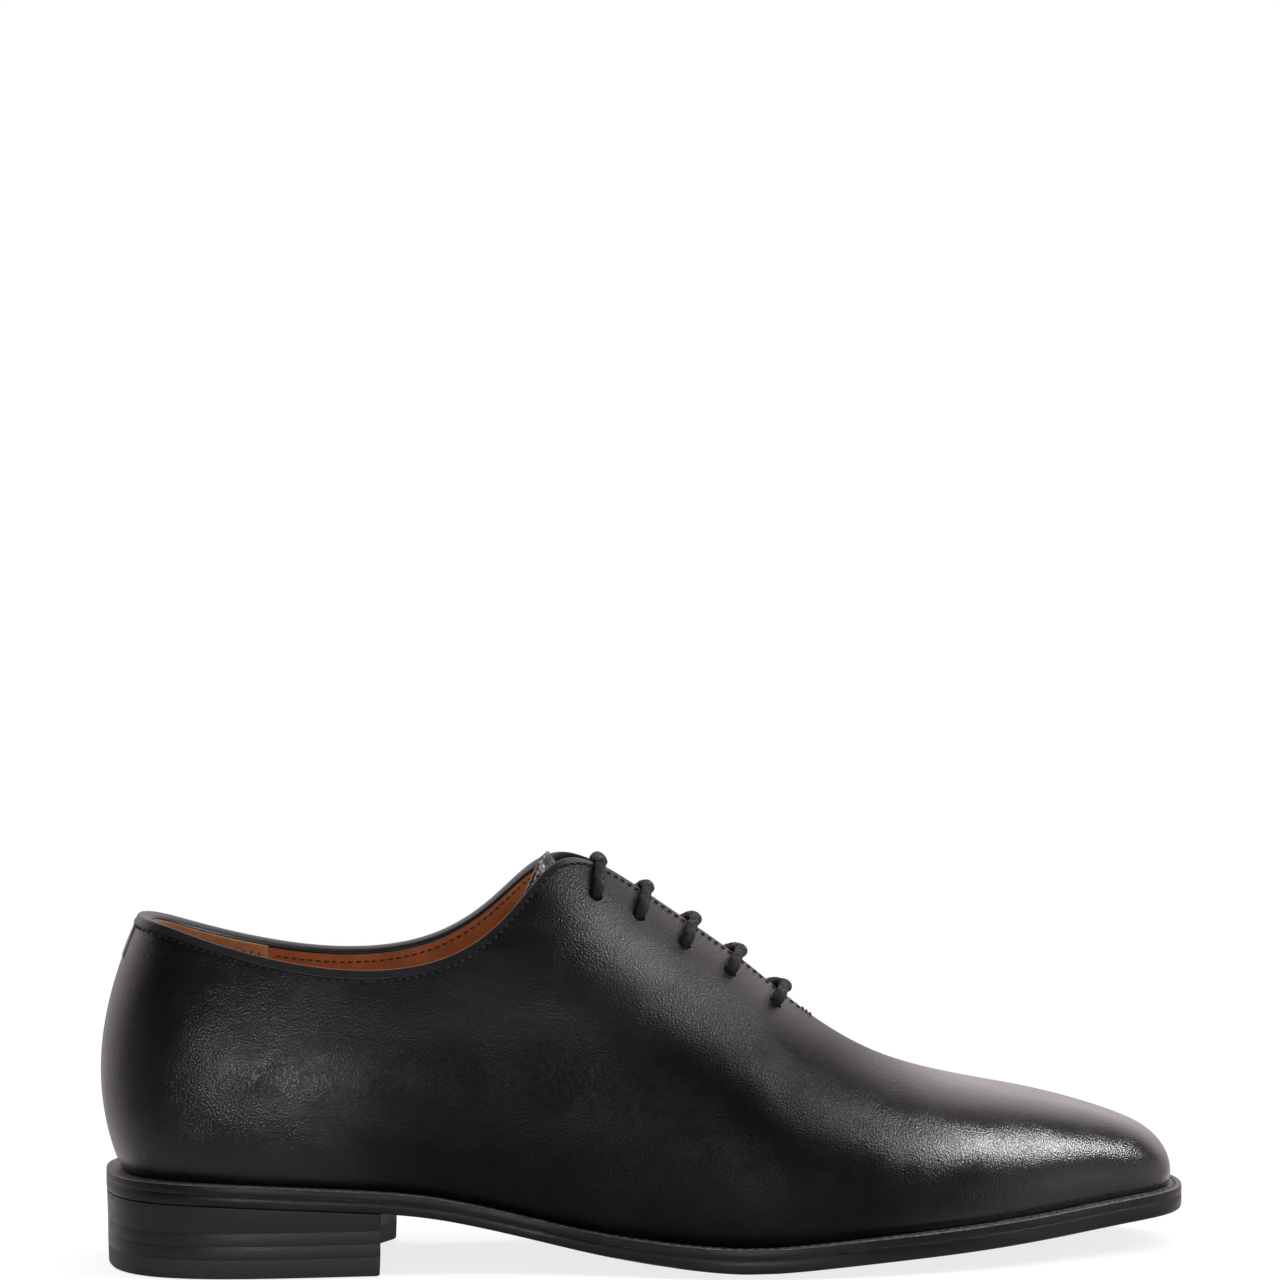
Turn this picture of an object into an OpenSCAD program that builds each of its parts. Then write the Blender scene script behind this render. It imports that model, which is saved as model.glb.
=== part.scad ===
// Right-foot leather oxford shoe with a one-piece upper, a welted leather sole and a stacked heel.
// Frame: millimetres, +X to the toe, +Y to the inner (medial) side, +Z up. The origin is on the
// ground, in the middle of the heel's ground face. The shoe bends at the ball of the foot, so what
// crosses that line is made as a toe piece and a back piece with a wedge of room between them.

/* [Size] */
// Length of the sole from the back of the heel to the toe
sole_length = 304.5; // [295:0.5:315]
// Width of the upper across the ball of the foot
ball_width = 92.5; // [88:0.5:98]
// Height of the top line at the back seam
back_height = 99; // [94:1:104]

/* [Leather] */
// Thickness of the outer leather
upper_t = 1.4; // [1.2:0.1:1.6]
// Thickness of the stiffeners and stays
stay_t = 0.7; // [0.6:0.1:0.8]
// Thickness of the lining leather
lining_t = 1.0; // [0.8:0.1:1.1]
// Air between neighbouring layers
gap = 0.1; // [0.08:0.01:0.15]
// Air on both sides of a stiffener or stay
stay_gap = 0.3; // [0.25:0.05:0.35]

/* [Sole] */
// Thickness of the welt
welt_t = 2.5; // [2:0.1:3]
// Thickness of the outsole under the forefoot
outsole_t = 4.4; // [4:0.1:5]
// Thickness of the insole
insole_t = 2.6; // [2.2:0.1:3]
// Thickness of the rubber top lift
top_lift_t = 5.5; // [5:0.1:6]
// Thickness of one leather heel lift
lift_t = 3.6; // [3.2:0.1:3.8]

/* [Lacing] */
// Radius of the round lace
lace_r = 1.6; // [1.4:0.05:1.65]
// Radius of the lace holes in the outer leather
hole_r = 2.2; // [2.1:0.05:2.4]

/* [Motion] */
// Most that the shoe bends at the ball, in degrees
flex_max = 25; // [15:1:30]
// Forward lean of the plane that ends the back pieces, in degrees
flex_lean = 5; // [4:1:7]

/* [Hidden] */
$fn = 48;

// Scale of the reference shapes to the driving dimensions
kx = sole_length / 304.5;
ky = ball_width / 92.5;
kz = back_height / 99;

// Feather line, where the upper meets the sole, from the back seam to the toe:
// [x, lateral y, medial y]
FEATHER = [
    [-34.8, 0, 0], [-33.5, -14, 14], [-25, -24, 23.5], [-10, -29, 28], [10, -30, 28.5], [32, -29.5, 26.5],
    [54, -29.5, 23], [72, -30.5, 21.5], [86, -32.5, 23.5], [97, -35.5, 27], [108, -38.5, 31], [124, -43.5, 38.5],
    [142, -46.8, 45], [160, -47, 47.5], [180, -45, 46.5], [202, -40, 42], [224, -32, 35], [244, -21.5, 27.5],
    [262.5, -14, 20], [265.8, 3, 3]
];
// Top edge of the upper for the same stations: [x, half width, height, sideways shift of the middle]
TOP_EDGE = [
    [-29.6, 0, 98.2, 0], [-29, 9, 98, 0], [-23, 16.5, 97, 0], [-10, 22, 92.2, 0], [10, 25.5, 86.8, 0],
    [32, 26.5, 83.8, 0], [54, 25.5, 86, 0], [70, 22, 95.5, 0], [81, 16, 108.5, 0], [90, 7, 115.2, 0],
    [103, 1.8, 110.6, 0], [122, 1.4, 97, 0], [142, 1.2, 83.4, 0], [160, 0, 66.8, 0.3], [180, 0, 54.8, 0.8],
    [202, 0, 48.6, 1.5], [224, 0, 44.6, 2.2], [239, 0, 40.3, 2.8], [247, 0, 37.4, 3], [249, 0, 36.6, 3]
];
// Section of the upper for the same stations: [top slope, reach of the arc in degrees, squareness, bulge]
SECTION = [
    [0, 38, 1, 6.8], [0, 38, 1, 6.5], [0, 38, 1, 6], [0, 36, 1, 5], [0, 36, 1, 4.5], [0, 38, 1, 5],
    [0, 42, 1, 6], [0, 48, 1, 6.5], [0, 57, 1, 6.5], [0, 66, 1, 6], [-0.3, 70, 0.98, 5.5], [-0.65, 71, 0.98, 5],
    [-0.7, 74, 1, 4], [-0.65, 80, 1.02, 3.2], [-0.42, 88, 1, 2.6], [-0.24, 90, 0.92, 2.2], [-0.2, 90, 0.8, 2],
    [-0.24, 90, 0.68, 1.6], [-0.3, 90, 0.62, 1.4], [-0.3, 90, 0.6, 1.4]
];
LAST = len(FEATHER) - 1;

// Underside of the outsole at even steps along its length
SOLE_PROFILE = [20.8, 20.8, 19.6, 18.2, 16.6, 11.4, 5.8, 2.2, -0.8, 0.9, 3.3, 5.2, 7.1, 9, 10.5];
SOLE_X0 = -40;
SOLE_X1 = 270;

// Bend line at the ball of the foot
flex_x = 158 * kx;
flex_z = outsole_t;
flex_clear = 0.25;

// Depths below the outer surface at which each layer starts
stay_d = upper_t + stay_gap;
lining_d = stay_d + stay_t + stay_gap;
inside_d = lining_d + lining_t;
lace_room = 2 * lace_r + 1.5;
tongue_d = inside_d + lace_room;
tongue_t = 1.2;

// Width of the flange that is turned in under the insole
flange_w = 7;

// ---- Curves ----

// One weighted row of a uniform cubic B-spline
function blend(a, b, c, d, f) =
    ((1 - f) * (1 - f) * (1 - f) * a + (3 * f * f * f - 6 * f * f + 4) * b
    + (-3 * f * f * f + 3 * f * f + 3 * f + 1) * c + f * f * f * d) / 6;

// A station row for a signed index: negative is the lateral side, beyond the toe comes back on the other side
function folded(i) = i > LAST ? -(2 * LAST - i) : i < -LAST ? 2 * LAST + i : i;
function feather_row(i) =
    let (k = folded(i), r = FEATHER[abs(k)])
    [r[0] * kx, (k < 0 ? r[1] : r[2]) * ky];
function top_row(i) =
    let (k = folded(i), r = TOP_EDGE[abs(k)], side = k < 0 ? -1 : 1)
    [r[0] * kx, (r[3] + side * r[1]) * ky, r[2] * kz];
function section_row(i) = SECTION[abs(folded(i))];

function feather(s) =
    let (u = s * LAST, i = floor(u), f = u - i)
    blend(feather_row(i - 1), feather_row(i), feather_row(i + 1), feather_row(i + 2), f);
function top_edge(s) =
    let (u = s * LAST, i = floor(u), f = u - i)
    blend(top_row(i - 1), top_row(i), top_row(i + 1), top_row(i + 2), f);
function section_at(s) =
    let (u = s * LAST, i = floor(u), f = u - i)
    blend(section_row(i - 1), section_row(i), section_row(i + 1), section_row(i + 2), f);

// Height of the outsole's underside at x
function profile_row(i) = SOLE_PROFILE[max(0, min(len(SOLE_PROFILE) - 1, i))];
function sole_under(x) =
    let (u = (x / kx - SOLE_X0) / (SOLE_X1 - SOLE_X0) * (len(SOLE_PROFILE) - 1), i = floor(u), f = u - i)
    max(0, blend(profile_row(i - 1), profile_row(i), profile_row(i + 1), profile_row(i + 2), f));
// The outsole is thinner in the waist and at the heel
function outsole_at(x) =
    outsole_t - 0.9 * (x < 90 ? 1 : x > 130 ? 0 : (130 - x) / 40);
function outsole_top(x) = sole_under(x) + outsole_at(x);
function welt_top(x) = outsole_top(x) + welt_t;

// Outward direction of the feather line
function outward(s) =
    let (d = feather(s + 0.002) - feather(s - 0.002), n = [-d[1], d[0]] / norm(d))
    n;

// Distance that the welt stands out past the upper
function welt_reach(s) =
    let (a = abs(s))
    a < 0.1 ? 4.5
        : a < 0.4 ? 4.5 - (a - 0.1) * 7.3
        : a < 0.62 ? 2.3 + (a - 0.4) * 10
        : 4.5 - (a - 0.62) * 2;

// ---- The outer surface of the upper ----
// s runs from -1 (toe) over the lateral side, 0 (heel) and the medial side to 1 (toe),
// and v from 0 at the feather line to 1 at the top edge
function last_point(s, v) =
    let (
        base = feather(s), top = top_edge(s), sec = section_at(s),
        a = v * sec[1],
        across = (1 - pow(max(0, cos(a)), sec[2])) / (1 - pow(max(0, cos(sec[1])), sec[2])),
        up = sin(a) / sin(sec[1]),
        push = sec[3] * sin(180 * pow(max(0, min(1, v)), 0.8)),
        n = outward(s),
        x = base[0] + (top[0] - base[0]) * across + n[0] * push,
        y = base[1] + (top[1] - base[1]) * across + n[1] * push,
        z0 = welt_top(x),
        z1 = top[2] + sec[0] * (x - top[0])
    )
    [x, y, z0 + (z1 - z0) * up];

function last_normal(s, v) =
    let (
        e = 0.003,
        va = min(v, 1 - e),
        ds = last_point(s + e, va) - last_point(s - e, va),
        dv = last_point(s, va + e) - last_point(s, max(0.001, va - e)),
        n = cross(dv, ds)
    )
    n / norm(n);

// Between the topline and the throat the deeper layers stop short, so that the two facings stay apart
function facing_span(a) =
    a < 0.48 ? 0
        : a < 0.51 ? (a - 0.48) / 0.03
        : a < 0.72 ? 1
        : a < 0.76 ? (0.76 - a) / 0.04
        : 0;
function eased(s, v, d) = v - 0.0075 * max(0, d) * facing_span(abs(s)) * pow(v, 8);

// A point of a layer at depth d. v below 0 lies on the flange that is turned in under the insole.
function layer_point(s, v, d) =
    let (base = feather(s), n = outward(s))
    v < 0
        ? let (p = base - n * (flange_w * -v + (1 + v) * d)) [p[0], p[1], welt_top(p[0]) + gap + d]
        : v == 0
            ? let (p = base - n * d) [p[0], p[1], welt_top(p[0]) + gap + d]
            : let (w = eased(s, v, d)) last_point(s, w) - last_normal(s, w) * d;

// ---- Ends of the pieces at the bend line ----
function past_plane(p, lean, clear) = p[0] - flex_x - clear - max(0, p[2] - flex_z) * tan(lean);
// The value of |s| at which the layer meets a leaning plane, found by halving
function cut_s(side, v, d, lean, clear, lo = 0.45, hi = 0.93, left = 12) =
    left == 0 ? (lo + hi) / 2
        : let (mid = (lo + hi) / 2)
        past_plane(layer_point(side * mid, v, d), lean, clear) > 0
            ? cut_s(side, v, d, lean, clear, lo, mid, left - 1)
            : cut_s(side, v, d, lean, clear, mid, hi, left - 1);

// ---- Solids from grids of points ----

// A closed solid between two grids of the same size
module grid_solid(outer, inner) {
    rows = len(outer);
    cols = len(outer[0]);
    n = rows * cols;
    pts = concat([for (r = outer) each r], [for (r = inner) each r]);
    outer_faces = [for (i = [0 : rows - 2], j = [0 : cols - 2])
        let (a = i * cols + j, b = a + 1, c = a + cols + 1, d = a + cols)
        each [[a, c, b], [a, d, c]]];
    inner_faces = [for (f = outer_faces) [f[2] + n, f[1] + n, f[0] + n]];
    ends = [for (j = [0 : cols - 2])
        let (a = j, b = j + 1, c = (rows - 1) * cols + j, d = c + 1)
        each [[a, b, b + n], [a, b + n, a + n], [d, c, c + n], [d, c + n, d + n]]];
    sides = [for (i = [0 : rows - 2])
        let (a = i * cols, b = a + cols, c = a + cols - 1, d = b + cols - 1)
        each [[b, a, a + n], [b, a + n, b + n], [c, d, d + n], [c, d + n, c + n]]];
    polyhedron(points = pts, faces = concat(outer_faces, inner_faces, ends, sides), convexity = 10);
}

// A grid whose last row folds onto itself, as a toe does: the two halves of that row are one edge
module folded_solid(outer, inner) {
    rows = len(outer);
    cols = len(outer[0]);
    mid = (cols - 1) / 2;
    n = rows * cols;
    function idx(i, j) = i * cols + (i == rows - 1 && j > mid ? cols - 1 - j : j);
    pts = concat([for (r = outer) each r], [for (r = inner) each r]);
    raw = [for (i = [0 : rows - 2], j = [0 : cols - 2])
        let (a = idx(i, j), b = idx(i, j + 1), c = idx(i + 1, j + 1), d = idx(i + 1, j))
        each [[a, b, c], [a, c, d]]];
    inner_faces = [for (f = raw) [f[2] + n, f[1] + n, f[0] + n]];
    start = [for (j = [0 : cols - 2])
        each [[j + 1, j, j + n], [j + 1, j + n, j + 1 + n]]];
    sides = [for (i = [0 : rows - 2])
        let (a = idx(i, 0), b = idx(i + 1, 0), c = idx(i, cols - 1), d = idx(i + 1, cols - 1))
        each [[a, b, b + n], [a, b + n, a + n], [d, c, c + n], [d, c + n, d + n]]];
    polyhedron(points = pts, faces = concat(raw, inner_faces, start, sides), convexity = 10);
}

// A round bar along a path of points
module tube(path, r, sides = 8) {
    count = len(path);
    function heading(i) =
        let (d = path[min(count - 1, i + 1)] - path[max(0, i - 1)]) d / norm(d);
    // Each ring's first direction is the last one's, made square to the path again
    function carried(i, u) = let (h = heading(i), w = u - h * (u * h)) w / norm(w);
    function frames(i, u) = i == count ? [] : let (w = carried(i, u)) concat([w], frames(i + 1, w));
    starts = frames(0, abs(heading(0)[0]) > 0.9 ? [0, 1, 0] : [1, 0, 0]);
    pts = [for (i = [0 : count - 1], k = [0 : sides - 1])
        let (u = starts[i], w = cross(heading(i), u), a = 360 * k / sides)
        path[i] + r * (cos(a) * u + sin(a) * w)];
    walls = [for (i = [0 : count - 2], k = [0 : sides - 1])
        let (a = i * sides + k, b = i * sides + (k + 1) % sides)
        each [[a, a + sides, b + sides], [a, b + sides, b]]];
    caps = [
        for (k = [1 : sides - 2]) each [[0, k, k + 1],
            [(count - 1) * sides, (count - 1) * sides + k + 1, (count - 1) * sides + k]]
    ];
    polyhedron(points = pts, faces = concat(walls, caps), convexity = 10);
}

// Evenly spaced values from a to b
function steps(a, b, n) = [for (i = [0 : n]) a + (b - a) * i / n];

// A patch of the last between two depths, over the heel from s0 to s1
module patch(ss, vs, d0, d1) {
    grid_solid(
        [for (s = ss) [for (v = vs) layer_point(s, v, d0)]],
        [for (s = ss) [for (v = vs) layer_point(s, v, d1)]]
    );
}

// Stations of the back pieces from the heel seam to the bend line. Every layer uses the same ones, so that
// neighbouring layers have matching facets. The last station leans with the bend line.
BACK = 30;
module back_piece(k_from, k_to, vs, d0, d1) {
    ks = concat([k_from], [for (k = [ceil(k_from + 0.5) : floor(k_to - 0.5)]) k], [k_to]);
    function row(k, d) = [for (v = vs)
        let (end = cut_s(k < 0 ? -1 : 1, v, d, flex_lean, -flex_clear))
        layer_point(end * k / BACK, v, d)];
    grid_solid([for (k = ks) row(k, d0)], [for (k = ks) row(k, d1)]);
}

// A toe piece: from the bend line to the toe, over the top from side to side
FRONT = 20;
module toe_piece(k_from, vs, d0, d1) {
    both = concat([for (v = vs) [-1, v]], [for (i = [len(vs) - 2 : -1 : 0]) [1, vs[i]]]);
    function row(k, d) = [for (b = both)
        let (
            start = cut_s(b[0], b[1], d, flex_lean + flex_max, flex_clear),
            s = start + (1 - start) * sin(90 * k / FRONT)
        )
        layer_point(b[0] * s, b[1], d)];
    folded_solid([for (k = [k_from : FRONT]) row(k, d0)], [for (k = [k_from : FRONT]) row(k, d1)]);
}

// ---- Upper ----
WALL = [-1, 0, 0.04, 0.1, 0.18, 0.27, 0.37, 0.48, 0.6, 0.72, 0.84, 0.93, 1];

module upper_back() {
    color("#1b1a1b")
    difference() {
        back_piece(-BACK, BACK, WALL, 0, upper_t);
        lace_holes(hole_r);
    }
}

module upper_toe() {
    color("#1b1a1b") toe_piece(0, WALL, 0, upper_t);
}

// Short strap over the top of the back seam
module heel_tab() {
    color("#1b1a1b") patch(steps(-0.012, 0.012, 2), steps(0.8, 0.99, 5), -0.9, -gap);
}

// Bound edge that caps the outer leather and the lining
module topline_binding() {
    end = 0.475;
    color("#202022") patch(steps(-end, end, 56), [1.008, 1.02], -0.2, inside_d);
}

// Stations of the wall between two shares of the way up
function wall_between(low, high) = [for (v = WALL) if (v >= low && v <= high) v];

module heel_counter() {
    color("#8a6a48") back_piece(-13, 13, wall_between(0.09, 0.73), stay_d, stay_d + stay_t);
}

module toe_puff() {
    color("#8a6a48") toe_piece(8, wall_between(0.09, 1), stay_d, stay_d + stay_t);
}

// Reinforcing strips under the facings, one on each side
module facing_stays() {
    vs = wall_between(0.71, 0.94);
    color("#8a6a48")
    difference() {
        union() {
            back_piece(-29, -21, vs, stay_d, stay_d + stay_t);
            back_piece(21, 29, vs, stay_d, stay_d + stay_t);
        }
        lace_holes(eyelet_r + 0.05);
    }
}

// ---- Lacing ----
eyelet_r = 2.6;
eyelet_bore_r = 1.95;
// Depth of the eyelets' flanges, behind the lining
eyelet_d = inside_d + 1.1;
// |s| of the holes from the throat to the ankle, and their share of the way up
HOLE_S = [0.653, 0.617, 0.582, 0.545, 0.502];
hole_v = 0.858;

function hole_centre(k, side) = last_point(side * HOLE_S[k], hole_v);
function hole_axis(k, side) = last_normal(side * HOLE_S[k], hole_v);

// Moves the drawing so that its +Z runs along a direction
module along(p, n) {
    translate(p) rotate([0, acos(n[2]), atan2(n[1], n[0])]) children();
}

module lace_holes(r) {
    for (k = [0 : len(HOLE_S) - 1], side = [-1, 1]) {
        along(hole_centre(k, side), hole_axis(k, side)) translate([0, 0, -8]) cylinder(r = r, h = 12);
    }
}

// Metal eyelets set behind the outer leather, so that only the holes show
module blind_eyelets() {
    color("#2c2c2e")
    for (k = [0 : len(HOLE_S) - 1], side = [-1, 1]) {
        along(hole_centre(k, side), hole_axis(k, side)) translate([0, 0, -eyelet_d])
        difference() {
            union() {
                cylinder(r = eyelet_r, h = eyelet_d - upper_t - 0.45);
                cylinder(r = eyelet_r + 0.9, h = 0.35);
            }
            translate([0, 0, -1]) cylinder(r = eyelet_bore_r, h = 8);
        }
    }
}

// Height of the lace's middle over the leather, and its depth in the room over the tongue
turn_r = lace_r + 0.15;
// Height over the leather at which the lace starts to turn
turn_lift = 0.5;
lace_out = turn_r + turn_lift;
lace_in = eyelet_d + turn_r;

function over(s, v, d) = last_point(s, v) + last_normal(s, v) * d;
function unit(v) = v / norm(v);

// A turn of the lace at a hole: from its axis at height h, to run beside the leather towards a point
function turn(k, side, h, sense, to) =
    let (c = hole_centre(k, side), n = hole_axis(k, side), w = to - c, t = unit(w - n * (n * w)))
    [for (a = [0, 30, 60, 90]) c + n * (h + sense * turn_r * sin(a)) + t * turn_r * (1 - cos(a))];

// One straight bar, from inside the hole on one side to inside the hole on the other
function half_bar(k, side) =
    let (near = over(side * (HOLE_S[k] + 0.002), 0.91, lace_out))
    concat(
        [hole_centre(k, side) - hole_axis(k, side) * (lace_in - turn_r - 1.2)],
        turn(k, side, turn_lift, 1, near),
        [
            near,
            over(side * (HOLE_S[k] + 0.004), 0.955, lace_out),
            over(side * (HOLE_S[k] + 0.006), 0.985, lace_out + 0.1)
        ]
    );
function bar(k, side) = concat(half_bar(k, side), reversed(half_bar(k, -side)));
// The hidden run between two holes on one side, behind the lining
function run(k0, k1, side) =
    let (mid = [for (f = [0.3, 0.5, 0.7])
        over(side * (HOLE_S[k0] + (HOLE_S[k1] - HOLE_S[k0]) * f), hole_v + 0.012 * sin(180 * f), -lace_in)])
    concat(
        turn(k0, side, turn_r - lace_in, -1, mid[0]), mid,
        reversed(turn(k1, side, turn_r - lace_in, -1, mid[2]))
    );
// A free end tucked behind the facing, below the holes
function tail(k, side) =
    let (rest = [for (f = [[0.006, 0.82], [0.018, 0.795], [0.034, 0.79], [0.05, 0.79]])
        over(side * (HOLE_S[k] + f[0]), f[1], -lace_in)])
    concat(turn(k, side, turn_r - lace_in, -1, rest[0]), rest);
function reversed(l) = [for (i = [len(l) - 1 : -1 : 0]) l[i]];

LACE_PATH = concat(
    reversed(tail(3, -1)), bar(3, -1), run(3, 1, 1), bar(1, 1), run(1, 0, -1), bar(0, -1),
    run(0, 2, 1), bar(2, 1), run(2, 4, -1), bar(4, -1), tail(4, 1)
);

function catmull(a, b, c, d, f) =
    0.5 * (2 * b + (c - a) * f + (2 * a - 5 * b + 4 * c - d) * f * f + (3 * b - a - 3 * c + d) * f * f * f);
function smooth_path(p, n) =
    let (m = len(p) - 1)
    concat([for (i = [0 : m - 1], k = [0 : n - 1])
        catmull(p[max(0, i - 1)], p[i], p[i + 1], p[min(m, i + 2)], k / n)], [p[m]]);

module lace() {
    color("#161616") tube(smooth_path(LACE_PATH, 2), lace_r, 8);
}

// Tips on the two ends of the lace
module aglet(k, side) {
    a = over(side * (HOLE_S[k] + 0.052), 0.79, -lace_in);
    b = over(side * (HOLE_S[k] + 0.085), 0.79, -lace_in);
    along(a, unit(b - a)) cylinder(r = lace_r - 0.2, h = 11);
}

module aglets() {
    color("#101010") {
        aglet(3, -1);
        aglet(4, 1);
    }
}

// ---- Linings ----
// The station of the seams between the heel lining and the side linings
heel_seam = 8.5;

module quarter_lining() {
    color("#a8643c")
    difference() {
        union() {
            back_piece(-BACK, -heel_seam - 0.06, WALL, lining_d, inside_d);
            back_piece(heel_seam + 0.06, BACK, WALL, lining_d, inside_d);
        }
        lace_holes(eyelet_r + 0.05);
    }
}

module heel_lining() {
    color("#b5804f") back_piece(-heel_seam, heel_seam, WALL, lining_d, inside_d);
}

module vamp_lining() {
    color("#b88a5c") toe_piece(0, WALL, lining_d, inside_d);
}

// ---- Tongue ----
tongue_front = 0.685;
tongue_edge_v = 0.74;
tongue_reach = [-2.4, 0, 3.65];

// One row across the tongue at |s|, from the lateral edge over the middle to the medial edge
function tongue_row(s, d) =
    let (
        vs = steps(tongue_edge_v, 0.925, 5),
        a = over(-s, 0.925, -d), b = over(s, 0.925, -d),
        middle = (a + b) / 2 + unit(last_normal(-s, 0.925) + last_normal(s, 0.925)) * 0.12 * norm(b - a)
    )
    concat([for (v = vs) over(-s, v, -d)], [middle], [for (v = reversed(vs)) over(s, v, -d)]);
// The free end carries the last row on past the top line, its middle further than its edges
function tongue_rows(d) =
    let (last = tongue_row(0.5, d), m = (len(last) - 1) / 2)
    concat(
        [for (s = steps(tongue_front, 0.5, 14)) tongue_row(s, d)],
        [for (k = [1, 2, 3]) [for (j = [0 : len(last) - 1])
            last[j] + tongue_reach * k * (1 - 0.85 * pow(abs(j - m) / m, 1.3))]]
    );

module tongue_leather() {
    color("#1b1a1b") grid_solid(tongue_rows(tongue_d), tongue_rows(tongue_d + tongue_t));
}

module tongue_lining() {
    d = tongue_d + tongue_t + gap;
    color("#a8643c") grid_solid(tongue_rows(d), tongue_rows(d + 0.9));
}

// ---- Sole ----

// Outline of the sole, moved out from the feather line (or in, when negative)
function outline(out, n = 110) = [for (i = [0 : n - 1])
    let (s = -1 + 2 * i / n) feather(s) + outward(s) * out];
// The welt and the outsole share this outline
function sole_outline(n = 150) = [for (i = [0 : n - 1])
    let (s = -1 + 2 * i / n) feather(s) + outward(s) * welt_reach(s)];

// Everything between two curves of height, seen from the side, from xa to xb
module side_band(low, high, xa, xb, n = 60) {
    xs = steps(xa, xb, n);
    rotate([90, 0, 0]) translate([0, 0, -80]) linear_extrude(160)
    polygon(concat([for (x = xs) [x, low(x)]], [for (x = reversed(xs)) [x, high(x)]]));
}

// A sole layer: its plan outline cut by its side view
module sole_layer(plan, low, high, xa, xb) {
    intersection() {
        linear_extrude(90) polygon(plan);
        side_band(low, high, xa, xb);
    }
}

back_end = flex_x - flex_clear;
// Where a toe piece whose top is z high has to start, so that it clears the back piece when bent
function toe_start(z) = flex_x + flex_clear + max(0, z - flex_z) * tan(flex_max);
far_back = -60;
far_toe = 300;

insole_d = inside_d + gap;
insole_low = function (x) welt_top(x) + gap + insole_d;
insole_high = function (x) insole_low(x) + insole_t;
welt_low = function (x) outsole_top(x) + gap / 2;
welt_high = function (x) welt_top(x);
filler_low = function (x) outsole_top(x) + gap;
filler_high = function (x) insole_low(x) - gap;
outsole_low = function (x) sole_under(x);
outsole_high = function (x) outsole_top(x);

module insole_back() {
    color("#c9a777") sole_layer(outline(-insole_d - 0.2), insole_low, insole_high, far_back, back_end);
}

module insole_toe() {
    color("#c9a777")
    sole_layer(outline(-insole_d - 0.2), insole_low, insole_high, toe_start(insole_high(flex_x)), far_toe);
}

// Thin leather pad over the back of the insole
module sock_lining() {
    low = function (x) insole_high(x) + gap;
    high = function (x) insole_high(x) + gap + 0.8;
    color("#a8643c") sole_layer(outline(-insole_d - 1.5), low, high, far_back, 112);
}

// The stitched rib under the insole: a narrow wall just inside the turned-in flange
rib_out = -flange_w - 0.6;
rib_t = 1.6;
module rib(xa, xb) {
    color("#d8d0c0")
    intersection() {
        difference() {
            linear_extrude(90) polygon(outline(rib_out));
            translate([0, 0, -1]) linear_extrude(92) polygon(outline(rib_out - rib_t));
        }
        side_band(filler_low, filler_high, xa, xb);
    }
}
module insole_rib_back() { rib(far_back, back_end); }
module insole_rib_toe() { rib(toe_start(filler_high(flex_x)), far_toe); }

// Cork that fills the hollow inside the rib; it leaves a slot for the shank
filler_out = rib_out - rib_t - gap;
shank_w = 14;
shank_x = [-12, 104];
shank_t = 1.2;
shank_lift = 1.6;
module cork_filler_back() {
    color("#8f6b45")
    difference() {
        sole_layer(outline(filler_out), filler_low, filler_high, far_back, back_end);
        slot_low = function (x) outsole_top(x) + shank_lift - gap;
        slot_high = function (x) outsole_top(x) + shank_lift + shank_t + gap;
        intersection() {
            translate([shank_x[0] - 1, -shank_w / 2 - 0.3, 0])
                cube([shank_x[1] - shank_x[0] + 2, shank_w + 0.6, 80]);
            side_band(slot_low, slot_high, shank_x[0] - 1, shank_x[1] + 1, 30);
        }
    }
}
module cork_filler_toe() {
    color("#8f6b45")
    sole_layer(outline(filler_out), filler_low, filler_high, toe_start(filler_high(flex_x)), far_toe);
}

// Spring steel strip that stiffens the waist
module shank() {
    low = function (x) outsole_top(x) + shank_lift;
    high = function (x) outsole_top(x) + shank_lift + shank_t;
    color("#8d9196")
    intersection() {
        translate([shank_x[0], -shank_w / 2, 0]) cube([shank_x[1] - shank_x[0], shank_w, 80]);
        side_band(low, high, shank_x[0], shank_x[1], 30);
    }
}

// Strip of leather that shows all round the upper
module welt(xa, xb) {
    color("#1f1e1f")
    intersection() {
        difference() {
            linear_extrude(90) polygon(sole_outline());
            translate([0, 0, -1]) linear_extrude(92) polygon(outline(rib_out + 0.1));
        }
        side_band(welt_low, welt_high, xa, xb);
    }
}
module welt_back() { welt(far_back, back_end); }
module welt_toe() { welt(toe_start(welt_high(flex_x)), far_toe); }

module outsole_back() {
    color("#191819") sole_layer(sole_outline(), outsole_low, outsole_high, far_back, back_end);
}
module outsole_toe() {
    color("#191819") sole_layer(sole_outline(), outsole_low, outsole_high, toe_start(0), far_toe);
}

// ---- Heel ----
heel_front = 41;
breast_r = 62;
breast_depth = 9;

// Plan of the heel: the back of the sole, ended by a hollow front and a cut inner corner
module heel_plan(inset) {
    difference() {
        intersection() {
            polygon([for (i = [0 : 149])
                let (s = -1 + 2 * i / 150)
                feather(s) + outward(s) * (welt_reach(s) - inset)]);
            translate([-60, -60]) square([60 + heel_front + 9, 120]);
        }
        rotate(-7) translate([heel_front - breast_depth + breast_r + 1, 0]) circle(r = breast_r, $fn = 120);
    }
}

module heel_slice(z0, z1, inset) {
    translate([0, 0, z0]) linear_extrude(z1 - z0) heel_plan(inset);
}

base_z = top_lift_t + 2 * lift_t + 2 * gap;

// Wedge that brings the sloping seat down to level
module heel_base() {
    low = function (x) base_z + gap;
    high = function (x) sole_under(x) - gap;
    color("#201f20")
    difference() {
        intersection() {
            linear_extrude(60) heel_plan(0.2);
            side_band(low, high, far_back, heel_front + 12, 40);
        }
        nail_holes();
    }
}

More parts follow.
